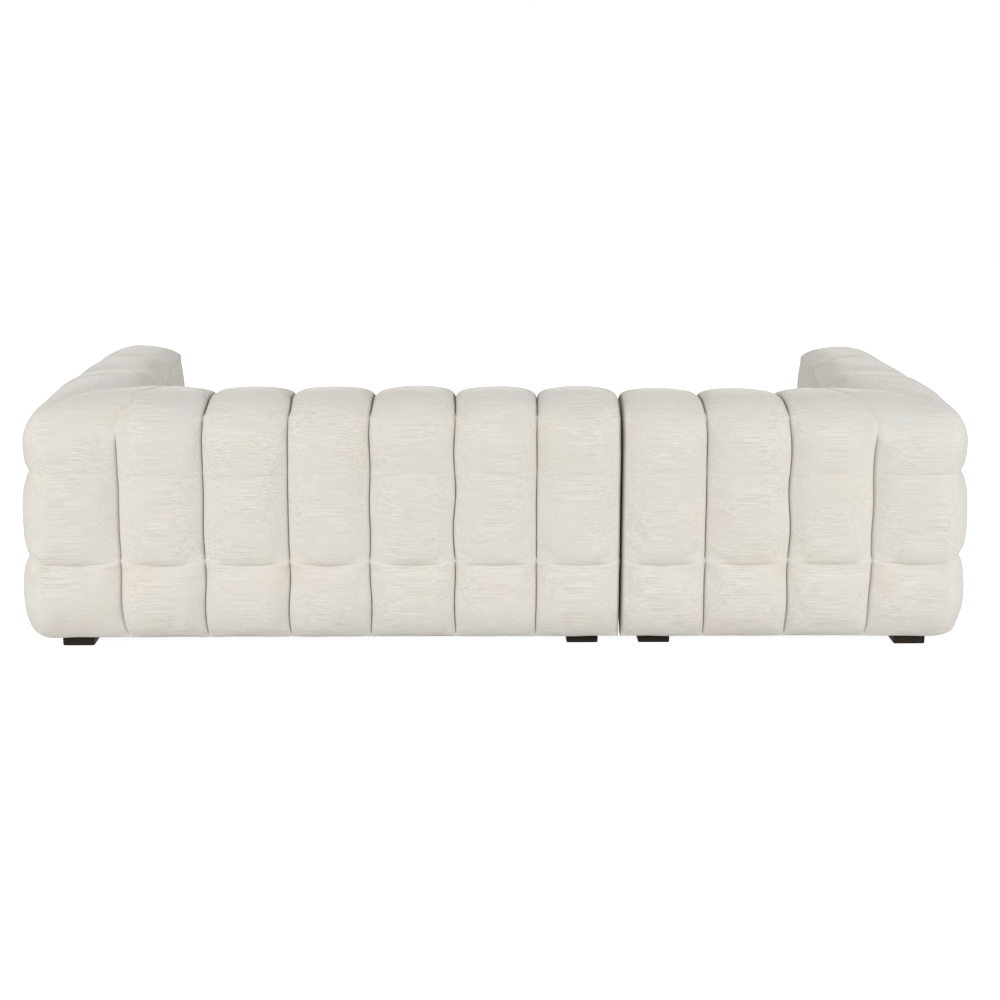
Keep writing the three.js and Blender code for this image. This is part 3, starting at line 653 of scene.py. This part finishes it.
def buildWalls(sizes, alongX, alongY):
    # Both walls of a module, swollen as one cloth and then parted at the mitre.
    name = sizes.name
    grid, info = wallGrid(sizes)
    grid = wrinkled(grid, info, sizes)
    hemCount, innerCount = info.counts[0], info.counts[-1]
    hold = SimpleNamespace(**holding)
    held = np.maximum(1 - info.fill * hold.fullCell, 0) + bell(info.near, 0, hold.seamReach)
    held = held + hold.stitch * info.pinch * np.exp(-info.near / hold.stitchReach) + hold.mitre * info.mitre
    held = held + hold.levelSeam * (bell(info.nominalZ, sizes.deckZ, hold.levelReach) * info.isOuter)
    held[:, :hemCount + 2] = held[:, -innerCount:] = 1
    held[0] = held[-1] = 1
    info.crease[-1] = 0
    first, last = splitEnd(grid, sizes), armFront(grid, sizes)
    whole = np.concatenate([first, grid])
    onArm = (info.places[:-1] + info.places[1:]) / 2 > sizes.length
    slots = np.concatenate([np.zeros(len(first), int), onArm.astype(int)])
    grids = [(toWorld(sizes, whole), slots), (toWorld(sizes, last), np.full(len(last) - 1, 2))]
    lastHeld = np.full(last.shape[:2], hold.armFront)
    lastHeld[0] = lastHeld[:, -wall.underRows:] = 1
    held = np.concatenate([np.ones(first[..., 0].size), held.ravel(), lastHeld.ravel()])
    # The crease field is painted shade for the cloth's colour, none on the split end's and the arm front's rings
    crease = np.concatenate([np.zeros(first[..., 0].size), info.crease.ravel(), np.zeros(lastHeld.size)])
    cloths = [alongX, alongY, alongX]
    walls = meshFrom(name + "_walls", grids, cloths, flip=sizes.mirror > 0, crease=crease, held=held)
    swollen(walls, fieldOf(walls.data, "held"), wall.cap)
    smoothed(walls)
    for part, slots in (("back_cover", [0]), ("arm_cover", [1, 2])):
        piece = placed(f"{name}_{part}_fabric", walls.data.copy())
        keepOnly(piece.data, slots)
        soft(piece, name + "_module", 0.7, f"{name}_{part}")
    bpy.data.objects.remove(walls)


def soft(piece, body, fill, *nodes, slot="upholstery"):
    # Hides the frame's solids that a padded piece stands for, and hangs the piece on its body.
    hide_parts(*nodes)
    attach(piece, body)


# The front of the seat box
apronPlan = {"depth": 0.058, "topRoll": 0.014, "topKeep": 0.3, "lumps": 0.0012, "cap": 0.004}


def buildApron(sizes, cloth):
    # A padded strip below the cushions: its underside, its tufted front and its top edge.
    frontY, bottom, deckZ = sizes.frontY, sizes.bottom, sizes.deckZ
    seams = np.linspace(0, sizes.innerX - 2 * wall.contact, sizes.columns + 1)
    places = between(seams, 2 * wall.columnSteps, 2.0)
    near, wide = cellOf(seams, places)[2:]
    rolledFrom = deckZ - apronPlan["topRoll"]
    heights = joined(bottom + np.array([0.004, 0.012, 0.024]), crowded(bottom + 0.040, rolledFrom, 11, 1.4, "end"))
    level = (heights - bottom) / (deckZ - bottom)
    keep = apronPlan["topKeep"] * level
    full = keep + (1 - keep) * arch(level, 2.8, 0.75)
    tuck = tuckedUnder(heights, bottom)
    under = wall.bottomTuck + np.array([apronPlan["depth"] - wall.bottomTuck, 0.012, 0.002])
    forward, rise = quarter(6, 2.0)
    topZ = deckZ - wall.contact

    def section(faceIn, topDip):
        roll = faceIn[-1] + (0.016 - faceIn[-1]) * forward[1:]
        rolledZ = heights[-1] + (topZ - topDip - heights[-1]) * rise[1:]
        inward = np.concatenate([under, faceIn, roll, [0.036, apronPlan["depth"]]])
        below = np.full(3, bottom - wall.contact / 2)
        height = np.concatenate([below, heights, rolledZ, [topZ - topDip / 2, topZ]])
        return inward, height

    fullIn, fullZ = section(tuck - wall.belly * full, 0)
    seamIn, seamZ = section(tuck + wall.seamDepth * 0.6, 0.005)
    fill = plump(near, wide, wall.roll, wall.rollShare)[:, None]
    inward, height = mix(seamIn, fullIn, fill), mix(seamZ, fullZ, fill)
    grid = np.stack(np.broadcast_arrays(places[:, None], frontY + inward, height), -1)
    grid[..., 1] -= apronPlan["lumps"] * ripples(21, grid, 0.14) * fill * (inward < 0.010)
    ends = []
    for column, keeps in ((grid[0], (0.0, 0.6, 0.93)), (grid[-1], (0.93, 0.6, 0.0))):
        middle = np.array([frontY + 0.022, (bottom + deckZ) / 2])
        ends.append([np.column_stack([column[:, 0], middle + (column[:, 1:] - middle) * keep]) for keep in keeps])
    whole = np.concatenate([ends[0], grid, ends[1]])
    held = np.ones(whole.shape[:2])
    held[3:-3] = 1 - fill * (inward < 0.010)
    grids = [(toWorld(sizes, whole), np.zeros(len(whole) - 1, int))]
    piece = meshFrom(sizes.name + "_apron_fabric", grids, [cloth], flip=sizes.mirror < 0, held=held.ravel())
    swollen(piece, fieldOf(piece.data, "held"), apronPlan["cap"])
    smoothed(piece)
    soft(piece, sizes.name + "_module", 0.6, sizes.name + "_apron_cover")


def roundedPlan(points, low, high, radius):
    # Draws the corners of a rectangle's grid of points in to round ones.
    middle, half = (low + high) / 2, (high - low) / 2
    local = points - middle
    beyond = np.abs(local) - (half - radius)
    inCorner = (beyond > 0).all(-1)
    pull = beyond.max(-1) / np.maximum(np.linalg.norm(beyond, axis=-1), 1e-9)
    drawn = np.where(inCorner[..., None], (half - radius) + beyond * pull[..., None], np.abs(local))
    return middle + np.sign(local) * drawn


def around(grid):
    # The rim of a grid, counter-clockwise seen from above, closed.
    return np.concatenate([grid[:, 0], grid[-1, 1:], grid[:-1, -1][::-1], grid[0, :-1][::-1]])


def paddedBlock(name, low, high, plan, alongX, alongY, seed):
    # A boxed cushion: a tufted crown, bulging sides between two sewn edges, and a flat underside.
    plan, low, high = SimpleNamespace(**plan), np.array(low), np.array(high)
    edgeZ = high[2] - plan.crown
    seamsX = np.linspace(low[0], high[0], plan.columns + 1)
    seamsY = np.linspace(low[1], high[1], plan.rows + 1)
    xs, ys = between(seamsX, plan.steps, plan.crowding), between(seamsY, plan.steps, plan.crowding)
    flat = np.stack(np.meshgrid(xs, ys, indexing="ij"), -1)

    def drawn(inset):
        middle = (low[:2] + high[:2]) / 2
        scale = 1 - 2 * inset / (high[:2] - low[:2])
        return roundedPlan(middle + (flat - middle) * scale, low[:2] + inset, high[:2] - inset, plan.corner)

    def across(places, seams, span):
        # Full at the rim, where there is no seam: the cells, the whole cushion's swell and the round of its edge
        near, wide = cellOf(seams, places)[2:]
        edge = np.minimum(places - seams[0], seams[-1] - places)
        atRim = (edge < wide / 2) & (near < wide / 2) & (edge <= near + 1e-9)
        body = 1 - (1 - np.clip(2 * edge / span, 0, 1)) ** 3.2
        return np.where(atRim, 1, plump(near, wide, plan.roll, plan.rollShare)), body, rolled(edge, plan.rimRoll)

    cellX, bodyX, rimX = across(xs, seamsX, high[0] - low[0])
    cellY, bodyY, rimY = across(ys, seamsY, high[1] - low[1])
    cells, body, rim = np.outer(cellX, cellY), np.outer(bodyX, bodyY), np.outer(rimX, rimY)
    lift = plan.crown * mix(cells, body, plan.bodyShare) - plan.crease * (1 - cells)
    lift = lift * rim + plan.lumps * ripples(seed, flat, 0.13) * rim
    top = raised(drawn(plan.draw), edgeZ + np.minimum(lift, plan.crown + 0.004))
    bottom = raised(drawn(plan.draw), low[2])
    rows = []
    for share in crowded(0, 1, plan.sideSteps, 1.6):
        out = 1 - abs(2 * share - 1) ** 2.6
        row = around(raised(drawn(plan.draw * (1 - out)), mix(low[2], edgeZ, share)))
        push = plan.sideLumps * ripples(seed + 1, row, 0.11)[:, None] * out
        outward = row[:, :2] - (low[:2] + high[:2]) / 2
        row[:, :2] += outward / np.linalg.norm(outward, axis=1, keepdims=True) * push
        rows.append(row)
    band = np.stack(rows, 1)
    band[:, 0], band[:, -1] = around(bottom), around(top)
    along = np.abs(np.diff(band[:, 0], axis=0))
    facesX = (along[:, 1] > along[:, 0]).astype(int)
    zeros = np.zeros(len(xs) - 1, int)
    grids = [(top, zeros), (bottom[::-1], zeros), (band, facesX)]
    piece = meshFrom(name, grids, [alongX, alongY], 1e-5)
    points = pointsOf(piece.data)
    held = np.where(points[:, 2] < low[2] + 0.004, 1.0, 0.0)
    held[np.abs(points[:, 2] - edgeZ) < 1e-5] = 0.9
    onTop = points[:, 2] > edgeZ + 1e-5
    if plan.columns > 1:
        toSeams = [cellOf(seams[1:-1], points[:, axis])[2] for axis, seams in enumerate((seamsX, seamsY))]
        held = np.maximum(held, onTop * (1 - np.clip(np.minimum(*toSeams) / 0.012, 0, 1)))
    zipZone = (np.abs(points[:, 2] - (low[2] + edgeZ) / 2) < 0.018) & (points[:, 1] > high[1] - 0.02)
    held[zipZone] = 1
    swollen(piece, held, plan.cap)
    return smoothed(piece)


# The loose seat cushions and the padded deck that they lie on
cushionPlan = {
    "columns": 3, "rows": 3, "steps": 16, "crowding": 1.9, "crown": 0.018, "corner": 0.036, "draw": 0.018,
    "roll": 0.018, "rollShare": 0.55, "rimRoll": 0.060, "bodyShare": 0.45, "crease": 0.010, "sideSteps": 12,
    "lumps": 0.0011, "sideLumps": 0.0016, "cap": 0.007,
}
deckPlan = {
    "columns": 1, "rows": 4, "steps": 12, "crowding": 1.6, "crown": 0.006, "corner": 0.008, "draw": 0.003,
    "roll": 0.012, "rollShare": 0.6, "rimRoll": 0.020, "bodyShare": 0.3, "crease": 0.003, "sideSteps": 5,
    "lumps": 0.0011, "sideLumps": 0.0016, "cap": 0.0005,
}
# "slider" and "pull" are the lowest and the highest corner of each, counted from where the slider stands
zipPlan = {
    "length": 0.420, "tape": 0.012, "tapeDepth": 0.006, "tooth": 0.0034, "toothHeight": 0.0012, "pitch": 0.0035,
    "proud": 0.0012, "fromEnd": 0.016, "slider": ((0, 0, -0.005), (0.011, 0.0035, 0.005)),
    "pull": ((0.002, 0.002, -0.026), (0.009, 0.0038, -0.003)),
}


def boxMesh(low, high):
    # Corners and faces of one small block.
    corners = [(x, y, z) for z in (low[2], high[2]) for y in (low[1], high[1]) for x in (low[0], high[0])]
    return corners, [(0, 2, 3, 1), (4, 5, 7, 6), (0, 1, 5, 4), (2, 6, 7, 3), (0, 4, 6, 2), (1, 3, 7, 5)]


def buildZip(name, low, high, tapeFinish, toothFinish):
    # The zip along the rear of a cushion: two rows of teeth on a tape, and its slider.
    middleX, middleZ = (low[0] + high[0]) / 2, (low[2] + high[2] - cushionPlan["crown"]) / 2
    rear, half = high[1] + zipPlan["proud"], zipPlan["length"] / 2
    tape, tooth = zipPlan["tape"], zipPlan["tooth"]
    front, outside = rear - zipPlan["tapeDepth"], rear + zipPlan["toothHeight"]
    blocks = [((middleX - half, front, middleZ - tape), (middleX + half, rear, middleZ + tape))]
    for i in range(int(zipPlan["length"] / zipPlan["pitch"])):
        x = middleX - half + (i + 0.5) * zipPlan["pitch"]
        z = middleZ + tooth * (0.35 if i % 2 else -0.35)
        blocks.append(((x - 0.3 * tooth, rear, z - tooth / 2), (x + 0.3 * tooth, outside, z + tooth / 2)))
    slider = np.array([middleX + half - zipPlan["fromEnd"], rear, middleZ])
    blocks += [(slider + first, slider + last) for first, last in (zipPlan["slider"], zipPlan["pull"])]
    corners, faces = [], []
    for block in blocks:
        blockCorners, blockFaces = boxMesh(*block)
        faces += [tuple(i + len(corners) for i in face) for face in blockFaces]
        corners += blockCorners
    mesh = bpy.data.meshes.new(name + "_zip")
    mesh.from_pydata(corners, [], faces)
    mesh.materials.append(tapeFinish)
    mesh.materials.append(toothFinish)
    for face in mesh.polygons:
        face.material_index = int(face.index >= 6)
    piece = placed(name + "_zip", mesh)
    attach(piece, name)


def operators(operation):
    # What a Wire does on either side of a sign.
    def forward(self, other):
        return self.math(operation, other)

    def reflected(self, other):
        return self.math(operation, other, True)

    return forward, reflected


class Wire:
    # A shader socket that takes part in Python sums.
    def __init__(self, recipe, socket):
        self.recipe = recipe
        self.socket = socket

    def math(self, operation, other=None, swapped=False):
        first, second = (other, self) if swapped else (self, other)
        feeds = {0: first} if second is None else {0: first, 1: second}
        return self.recipe.node("ShaderNodeMath", {"operation": operation}, feeds)

    __add__, __radd__ = operators("ADD")
    __sub__, __rsub__ = operators("SUBTRACT")
    __mul__, __rmul__ = operators("MULTIPLY")
    __pow__, __rpow__ = operators("POWER")


class Recipe:
    # One tree of shader nodes under construction.
    def __init__(self, tree):
        self.tree = tree

    def node(self, kind, settings=None, feeds=None, out=0):
        made = self.tree.nodes.new(kind)
        for key, value in (settings or {}).items():
            setattr(made, key, value)
        for key, value in (feeds or {}).items():
            self.feed(made.inputs[key], value)
        return Wire(self, made.outputs[out]) if len(made.outputs) else made

    def feed(self, socket, value):
        if isinstance(value, Wire):
            self.tree.links.new(value.socket, socket)
        else:
            socket.default_value = value

    def blend(self, factor, first, second):
        settings = {"data_type": "RGBA", "clamp_factor": True}
        return self.node("ShaderNodeMix", settings, {0: factor, 6: first, 7: second}, 2)

    def noise(self, scale, detail=2.0, roughness=0.6, shift=(0, 0, 0)):
        # Noise between -0.5 and 0.5, in features per metre, one number for all axes or one for each.
        feeds = {0: self.place, 1: np.broadcast_to(scale, 3).tolist(), 2: shift}
        spot = self.node("ShaderNodeVectorMath", {"operation": "MULTIPLY_ADD"}, feeds)
        feeds = {"Vector": spot, "Scale": 1.0, "Detail": detail, "Roughness": roughness}
        return self.node("ShaderNodeTexNoise", None, feeds) - 0.5

    def mask(self, value, low, high):
        return self.node("ShaderNodeMapRange", {"clamp": True}, {0: value, 1: low, 2: high, 3: 0.0, 4: 1.0})

    def cells(self, scale, out=0):
        return self.node("ShaderNodeTexVoronoi", None, {"Vector": self.place, "Scale": scale}, out)

    def axes(self):
        parts = self.node("ShaderNodeSeparateXYZ", None, {0: self.place})
        return [Wire(self, parts.socket.node.outputs[i]) for i in range(3)]

    def bump(self, height, distance, strength=0.6):
        return self.node("ShaderNodeBump", None, {"Strength": strength, "Distance": distance, "Height": height})


def crossed(along, across, pitch):
    # One wave along times one across, as threads cross.
    turn = 2 * math.pi / pitch
    return (along * turn).math("SINE") * (across * turn).math("SINE")


def finish(name, mixture, *choices):
    # A material whose surface has the values that the mixture works out from a place on it.
    material = bpy.data.materials.new(name)
    material.use_nodes = True
    recipe = Recipe(material.node_tree)
    shader = material.node_tree.nodes["Principled BSDF"]
    recipe.place = recipe.node("ShaderNodeTexCoord", out="Object")
    for key, value in mixture(recipe, *choices).items():
        recipe.feed(shader.inputs[key.replace("_", " ")], value)
    return material


def linear(red, green, blue, alpha=1.0):
    # A colour as it is written for a screen, 0 to 255, in the shader's linear values.
    def one(value):
        value /= 255
        return value / 12.92 if value <= 0.04045 else ((value + 0.055) / 1.055) ** 2.4
    return (one(red), one(green), one(blue), alpha)


# The cover's cream slub weave: streaks a few threads thick, finer threads, faint hatched patches and warm blotches,
# with painted shade in its seams
slubCloth = {
    "base": linear(229, 226, 220),
    "shade": linear(205, 200, 192),
    "warm": linear(232, 218, 207),
    "straw": linear(227, 221, 206),
    "cool": linear(221, 222, 217),
    # crease: the colour of painted shade, laid into the slits, at the stitches and beside the split
    "crease": linear(132, 122, 106),
    "slubLength": 15.0,
    "slubThickness": 440.0,
    "threadPitch": 0.0024,
    "patchPitch": 0.0056,
    "bump": 0.0007,
    "sheen": 0.5,
}


def slubFabric(recipe, alongX):
    length, thin = slubCloth["slubLength"], slubCloth["slubThickness"]

    def stretched(long, fine, detail, shift):
        return recipe.noise((long, fine, fine) if alongX else (fine, long, fine), detail, shift=shift)

    slubs = stretched(length, thin, 3.0, (3.1, 0.7, 5.3))
    longSlubs = stretched(length * 0.35, thin * 0.45, 2.0, (9.7, 4.1, 2.2))
    fine = stretched(length * 3, thin * 2.2, 1.0, (1.3, 8.8, 6.1))
    blotch = recipe.noise(7.0, 3.0)
    coolBlotch = recipe.noise(5.0, 2.0, shift=(4.4, 2.2, 7.1))
    patches = recipe.mask(recipe.noise(20.0, 1.0), 0.02, 0.13)
    x, y, z = recipe.axes()
    along, across = (x, y + z) if alongX else (y, x + z)
    weave, hatch = (crossed(along, across, slubCloth[pitch]) for pitch in ("threadPitch", "patchPitch"))
    strong = recipe.mask(recipe.noise(8.0, 1.0, shift=(6.6, 1.9, 3.3)), -0.10, 0.14) + 0.5
    tone = 0.36 + (slubs * 1.6 + longSlubs * 0.9 + fine * 0.4) * strong + hatch * patches * 0.50 + weave * 0.08
    warmth = (blotch * 2.0 + longSlubs * 0.6).math("MAXIMUM", 0.0)
    tinted = recipe.blend(warmth, slubCloth["base"], slubCloth["warm"])
    tinted = recipe.blend((coolBlotch * 3.0).math("MAXIMUM", 0.0), tinted, slubCloth["cool"])
    tinted = recipe.blend((coolBlotch * -3.0).math("MAXIMUM", 0.0), tinted, slubCloth["straw"])
    colour = recipe.blend(tone, tinted, slubCloth["shade"])
    # Painted shade: the crease field darkens the colour in the slits, at the stitches and beside the split
    paintedShade = recipe.node("ShaderNodeAttribute", {"attribute_name": "crease"}, out="Fac")
    colour = recipe.blend(paintedShade * 0.8, colour, slubCloth["crease"])
    height = slubs * 1.2 + longSlubs * 0.8 + fine * 0.5 + weave * 0.35
    return dict(
        Base_Color=colour, Roughness=0.92 + slubs * 0.1,
        Normal=recipe.bump(height, slubCloth["bump"], 0.55), Specular_IOR_Level=0.25,
        Sheen_Weight=slubCloth["sheen"], Sheen_Roughness=0.4, Sheen_Tint=linear(255, 252, 248),
    )


def plainWeave(recipe, colour, pitch, depth):
    # Decking cloth: an even weave with a few thick threads.
    x, y, z = recipe.axes()
    weave = crossed(x, y + z, pitch)
    thick = recipe.noise((9.0, 260.0, 260.0)) + recipe.noise((260.0, 9.0, 9.0), shift=(2, 5, 1))
    dark = tuple(c * 0.72 for c in colour[:3]) + (1.0,)
    shade = recipe.blend(thick * 1.3 + weave * 0.10 + 0.3, colour, dark)
    return dict(
        Base_Color=shade, Roughness=0.95, Normal=recipe.bump(weave * 0.5 + thick, depth),
        Specular_IOR_Level=0.2,
    )


def openFoam(recipe):
    # Open cells of many sizes with painted shade in their pits, a little yellower where light has reached them.
    cells = recipe.cells(420.0)
    aged = recipe.noise(4.0, 3.0)
    colour = recipe.blend(aged * 1.6 + 0.4, linear(238, 226, 184), linear(222, 200, 140))
    # The pits of the cells, where the bump sinks, are painted darker as shade in them
    colour = recipe.blend(recipe.mask(cells, 0.0, 0.5), recipe.blend(0.35, colour, linear(150, 128, 84)), colour)
    return dict(
        Base_Color=colour, Roughness=0.95, Normal=recipe.bump(cells, 0.0012, 0.7),
        Specular_IOR_Level=0.2,
    )


def sawnPine(recipe, alongX):
    # Sawn pine: long rings along the board, fine fibres and a few knots.
    broad = (1.2, 22.0, 22.0) if alongX else (22.0, 1.2, 22.0)
    fibre = (8.0, 700.0, 700.0) if alongX else (700.0, 8.0, 700.0)
    rings = ((recipe.noise(broad, 2.0) * 46.0).math("SINE") * 0.5 + 0.5) ** 2.0
    fibres = recipe.noise(fibre, 2.0)
    knots = recipe.cells(3.2)
    knot = 1 - recipe.mask(knots, 0.02, 0.07)
    colour = recipe.blend(rings * 0.75 + fibres * 0.6, linear(212, 174, 126), linear(176, 128, 78))
    colour = recipe.blend(knot * 0.8, colour, linear(92, 56, 32))
    return dict(
        Base_Color=colour, Roughness=0.66 + fibres * 0.3,
        Normal=recipe.bump(fibres + rings * 0.4, 0.0005),
    )


def blackWood(recipe):
    # Stained block feet: dark satin grain, scuffed to brown where they meet the floor.
    grain = recipe.noise((12.0, 420.0, 420.0), 3.0)
    scuffs = recipe.noise((90.0, 90.0, 160.0), 4.0)
    low = 1 - recipe.mask(recipe.axes()[2], 0.001, 0.007)
    worn = recipe.mask(scuffs + low * 0.16, 0.17, 0.24)
    colour = recipe.blend(grain * 1.5 + 0.45, linear(30, 27, 20), linear(44, 39, 30))
    colour = recipe.blend(worn * 0.7, colour, linear(88, 70, 50))
    return dict(
        Base_Color=colour, Roughness=0.6 + grain * 0.3 + worn * 0.2,
        Normal=recipe.bump(grain, 0.0003), Specular_IOR_Level=0.12,
    )


def zincPlate(recipe):
    # Zinc plate: cold blotches and fine rolling lines.
    spangle = recipe.cells(130.0, "Color")
    lines = recipe.noise((20.0, 900.0, 900.0))
    tone = recipe.blend(0.25, linear(168, 171, 174), spangle)
    colour = recipe.blend(lines * 0.8 + 0.3, tone, linear(132, 134, 138))
    return dict(
        Base_Color=colour, Roughness=0.40 + lines * 0.35, Metallic=0.9,
        Normal=recipe.bump(lines, 0.0001),
    )


def juteWebbing(recipe):
    # Upholsterer's webbing: a coarse basket weave, its fibres lighter and darker.
    x, y, _ = recipe.axes()
    basket = crossed(x, y, 0.006)
    fibre = recipe.noise(300.0, 3.0)
    colour = recipe.blend(basket * 0.4 + fibre * 1.2 + 0.4, linear(128, 102, 74), linear(66, 50, 36))
    return dict(Base_Color=colour, Roughness=0.93, Normal=recipe.bump(basket + fibre, 0.0009))


def bondedSheet(recipe):
    # Black non-woven sheet, point-bonded in a fine grid.
    x, y, _ = recipe.axes()
    bonds = recipe.mask(crossed(x, y, 0.0035), 0.35, 0.7)
    fibre = recipe.noise((260.0, 420.0, 420.0), 4.0)
    colour = recipe.blend(fibre * 1.6 + 0.3, linear(40, 40, 41), linear(22, 22, 23))
    return dict(Base_Color=colour, Roughness=0.9 - bonds * 0.25, Normal=recipe.bump(fibre - bonds, 0.0003))


clothAlongX = finish("slub_cloth_along_x", slubFabric, True)
clothAlongY = finish("slub_cloth_along_y", slubFabric, False)
pineAlongX, pineAlongY = finish("pine_along_x", sawnPine, True), finish("pine_along_y", sawnPine, False)
deckCloth = finish("decking_cloth", plainWeave, linear(214, 206, 191), 0.0022, 0.0005)
liningCloth = finish("lining_cloth", plainWeave, linear(156, 134, 104), 0.0018, 0.0004)
zipTape = finish("zip_tape", plainWeave, linear(206, 198, 184), 0.0016, 0.0003)
foam, steel = finish("foam", openFoam), finish("zinc_steel", zincPlate)

# The finish of each solid of the frame, by the first word that its name holds
finishByWord = {
    "foam": foam, "core": foam, "dust": finish("dust_cloth", bondedSheet), "cover": clothAlongX, "arm_": pineAlongY,
    "split_rail": pineAlongY, "centre_rail": pineAlongY, "frame": pineAlongX, "board": pineAlongX,
    "rail": pineAlongX, "webbing": finish("jute_webbing", juteWebbing), "foot": finish("black_wood", blackWood),
    "receiver": steel, "tongue": steel, "deck": deckCloth, "split_panel": liningCloth,
}
for nodeName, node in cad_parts.items():
    node.data.materials.clear()
    node.data.materials.append(next(made for word, made in finishByWord.items() if word in nodeName))
print("frame solids finished")

for name, side in sides.items():
    sizes = moduleSizes(name)
    buildWalls(sizes, clothAlongX, clothAlongY)
    buildApron(sizes, clothAlongX)
    deckLow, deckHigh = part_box(name + "_deck")
    deck = paddedBlock(name + "_deck_pad", deckLow, deckHigh, deckPlan, deckCloth, deckCloth, 61)
    soft(deck, name + "_module", 0.4, name + "_deck", slot="deck_cloth")
    for i, cushion in enumerate(side["cushions"]):
        low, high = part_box(cushion + "_cover")
        seed = 71 + 10 * (i + side["mirror"])
        pad = paddedBlock(cushion + "_fabric", low, high, cushionPlan, clothAlongX, clothAlongY, seed)
        soft(pad, cushion, 0.8, cushion + "_cover")
        buildZip(cushion, low, high, zipTape, steel)
    print("module dressed:", name)

camera = placed("camera", bpy.data.cameras.new("camera"))
body = moduleSizes("two_seat")
camera.data.sensor_width = cameraPlan["sensor"]
camera.data.lens = cameraPlan["sensor"] * cameraPlan["focalPixels"] / cameraPlan["imagePixels"]
behind, above = body.rearY + cameraPlan["behindSeams"], body.bottom + cameraPlan["aboveBody"]
camera.location = (cameraPlan["sideways"], behind, above)
yaw, tilt = cameraPlan["yaw"], cameraPlan["tilt"]
looking = Vector((math.sin(yaw) * math.cos(tilt), -math.cos(yaw) * math.cos(tilt), -math.sin(tilt)))
camera.rotation_mode = "QUATERNION"
camera.rotation_quaternion = Quaternion(looking, cameraPlan["roll"]) @ looking.to_track_quat("-Z", "Y")
bpy.context.scene.camera = camera

# A bright even room, lamps for each half of the sofa from outside its ends, and a floor that is white to the camera
studio = {
    "room": 0.57,
    "lamps": [(412.0, (3.5, 4.0, 1.9), (0.95, 0.4, 0.4)), (160.0, (3.5, -4.0, 1.3), (0.95, -0.2, 0.4))],
    "lampRadius": 0.5,
    "lampCone": math.radians(50),
    "floorSize": 24.0,
    "floorColour": 0.8,
    "floorGlow": 0.93,
}

for side, (energy, start, goal) in itertools.product((1, -1), studio["lamps"]):
    lamp = placed("lamp", bpy.data.lights.new("lamp", "SPOT"))
    lamp.data.energy = energy
    lamp.data.shadow_soft_size = studio["lampRadius"]
    lamp.data.spot_size = studio["lampCone"]
    lamp.data.spot_blend = 1.0
    lamp.location = Vector(start) * Vector((side, 1, 1))
    lamp.rotation_mode = "QUATERNION"
    lamp.rotation_quaternion = (Vector(goal) * Vector((side, 1, 1)) - lamp.location).to_track_quat("-Z", "Y")


def seenDirectly(recipe):
    # 1 for what the camera sees, also in metal and through glass.
    path = recipe.node("ShaderNodeLightPath").socket.node
    rays = [Wire(recipe, path.outputs[name]) for name in ("Is Camera Ray", "Is Glossy Ray", "Is Transmission Ray")]
    return rays[0].math("MAXIMUM", rays[1]).math("MAXIMUM", rays[2])


def bareRecipe(owner):
    # The recipe of a world or a material that starts without nodes.
    owner.use_nodes = True
    owner.node_tree.nodes.clear()
    return Recipe(owner.node_tree)


bpy.context.scene.world = bpy.data.worlds.new("studio")
room = bareRecipe(bpy.context.scene.world)
white, grey = (1, 1, 1, 1), (studio["floorColour"],) * 3 + (1,)
lit = room.node("ShaderNodeBackground", None, {0: white, 1: studio["room"]})
seen = room.node("ShaderNodeBackground", None, {0: white, 1: 1.0})
shown = room.node("ShaderNodeMixShader", None, {0: seenDirectly(room), 1: lit, 2: seen})
room.node("ShaderNodeOutputWorld", None, {0: shown})

half = studio["floorSize"] / 2
floorMesh = bpy.data.meshes.new("floor")
floorMesh.from_pydata([(-half, -half, 0), (half, -half, 0), (half, half, 0), (-half, half, 0)], [], [(0, 1, 2, 3)])
floor = placed("floor", floorMesh)
floorMesh.materials.append(bpy.data.materials.new("white_floor"))
paint = bareRecipe(floorMesh.materials[0])
dull = paint.node("ShaderNodeBsdfDiffuse", None, {0: grey})
glow = paint.node("ShaderNodeEmission", None, {0: white, 1: studio["floorGlow"]})
both = paint.node("ShaderNodeAddShader", None, {0: dull, 1: glow})
painted = paint.node("ShaderNodeMixShader", None, {0: seenDirectly(paint), 1: dull, 2: both})
paint.node("ShaderNodeOutputMaterial", None, {0: painted})
print("studio ready")

bpy.context.scene.view_settings.view_transform = "Standard"
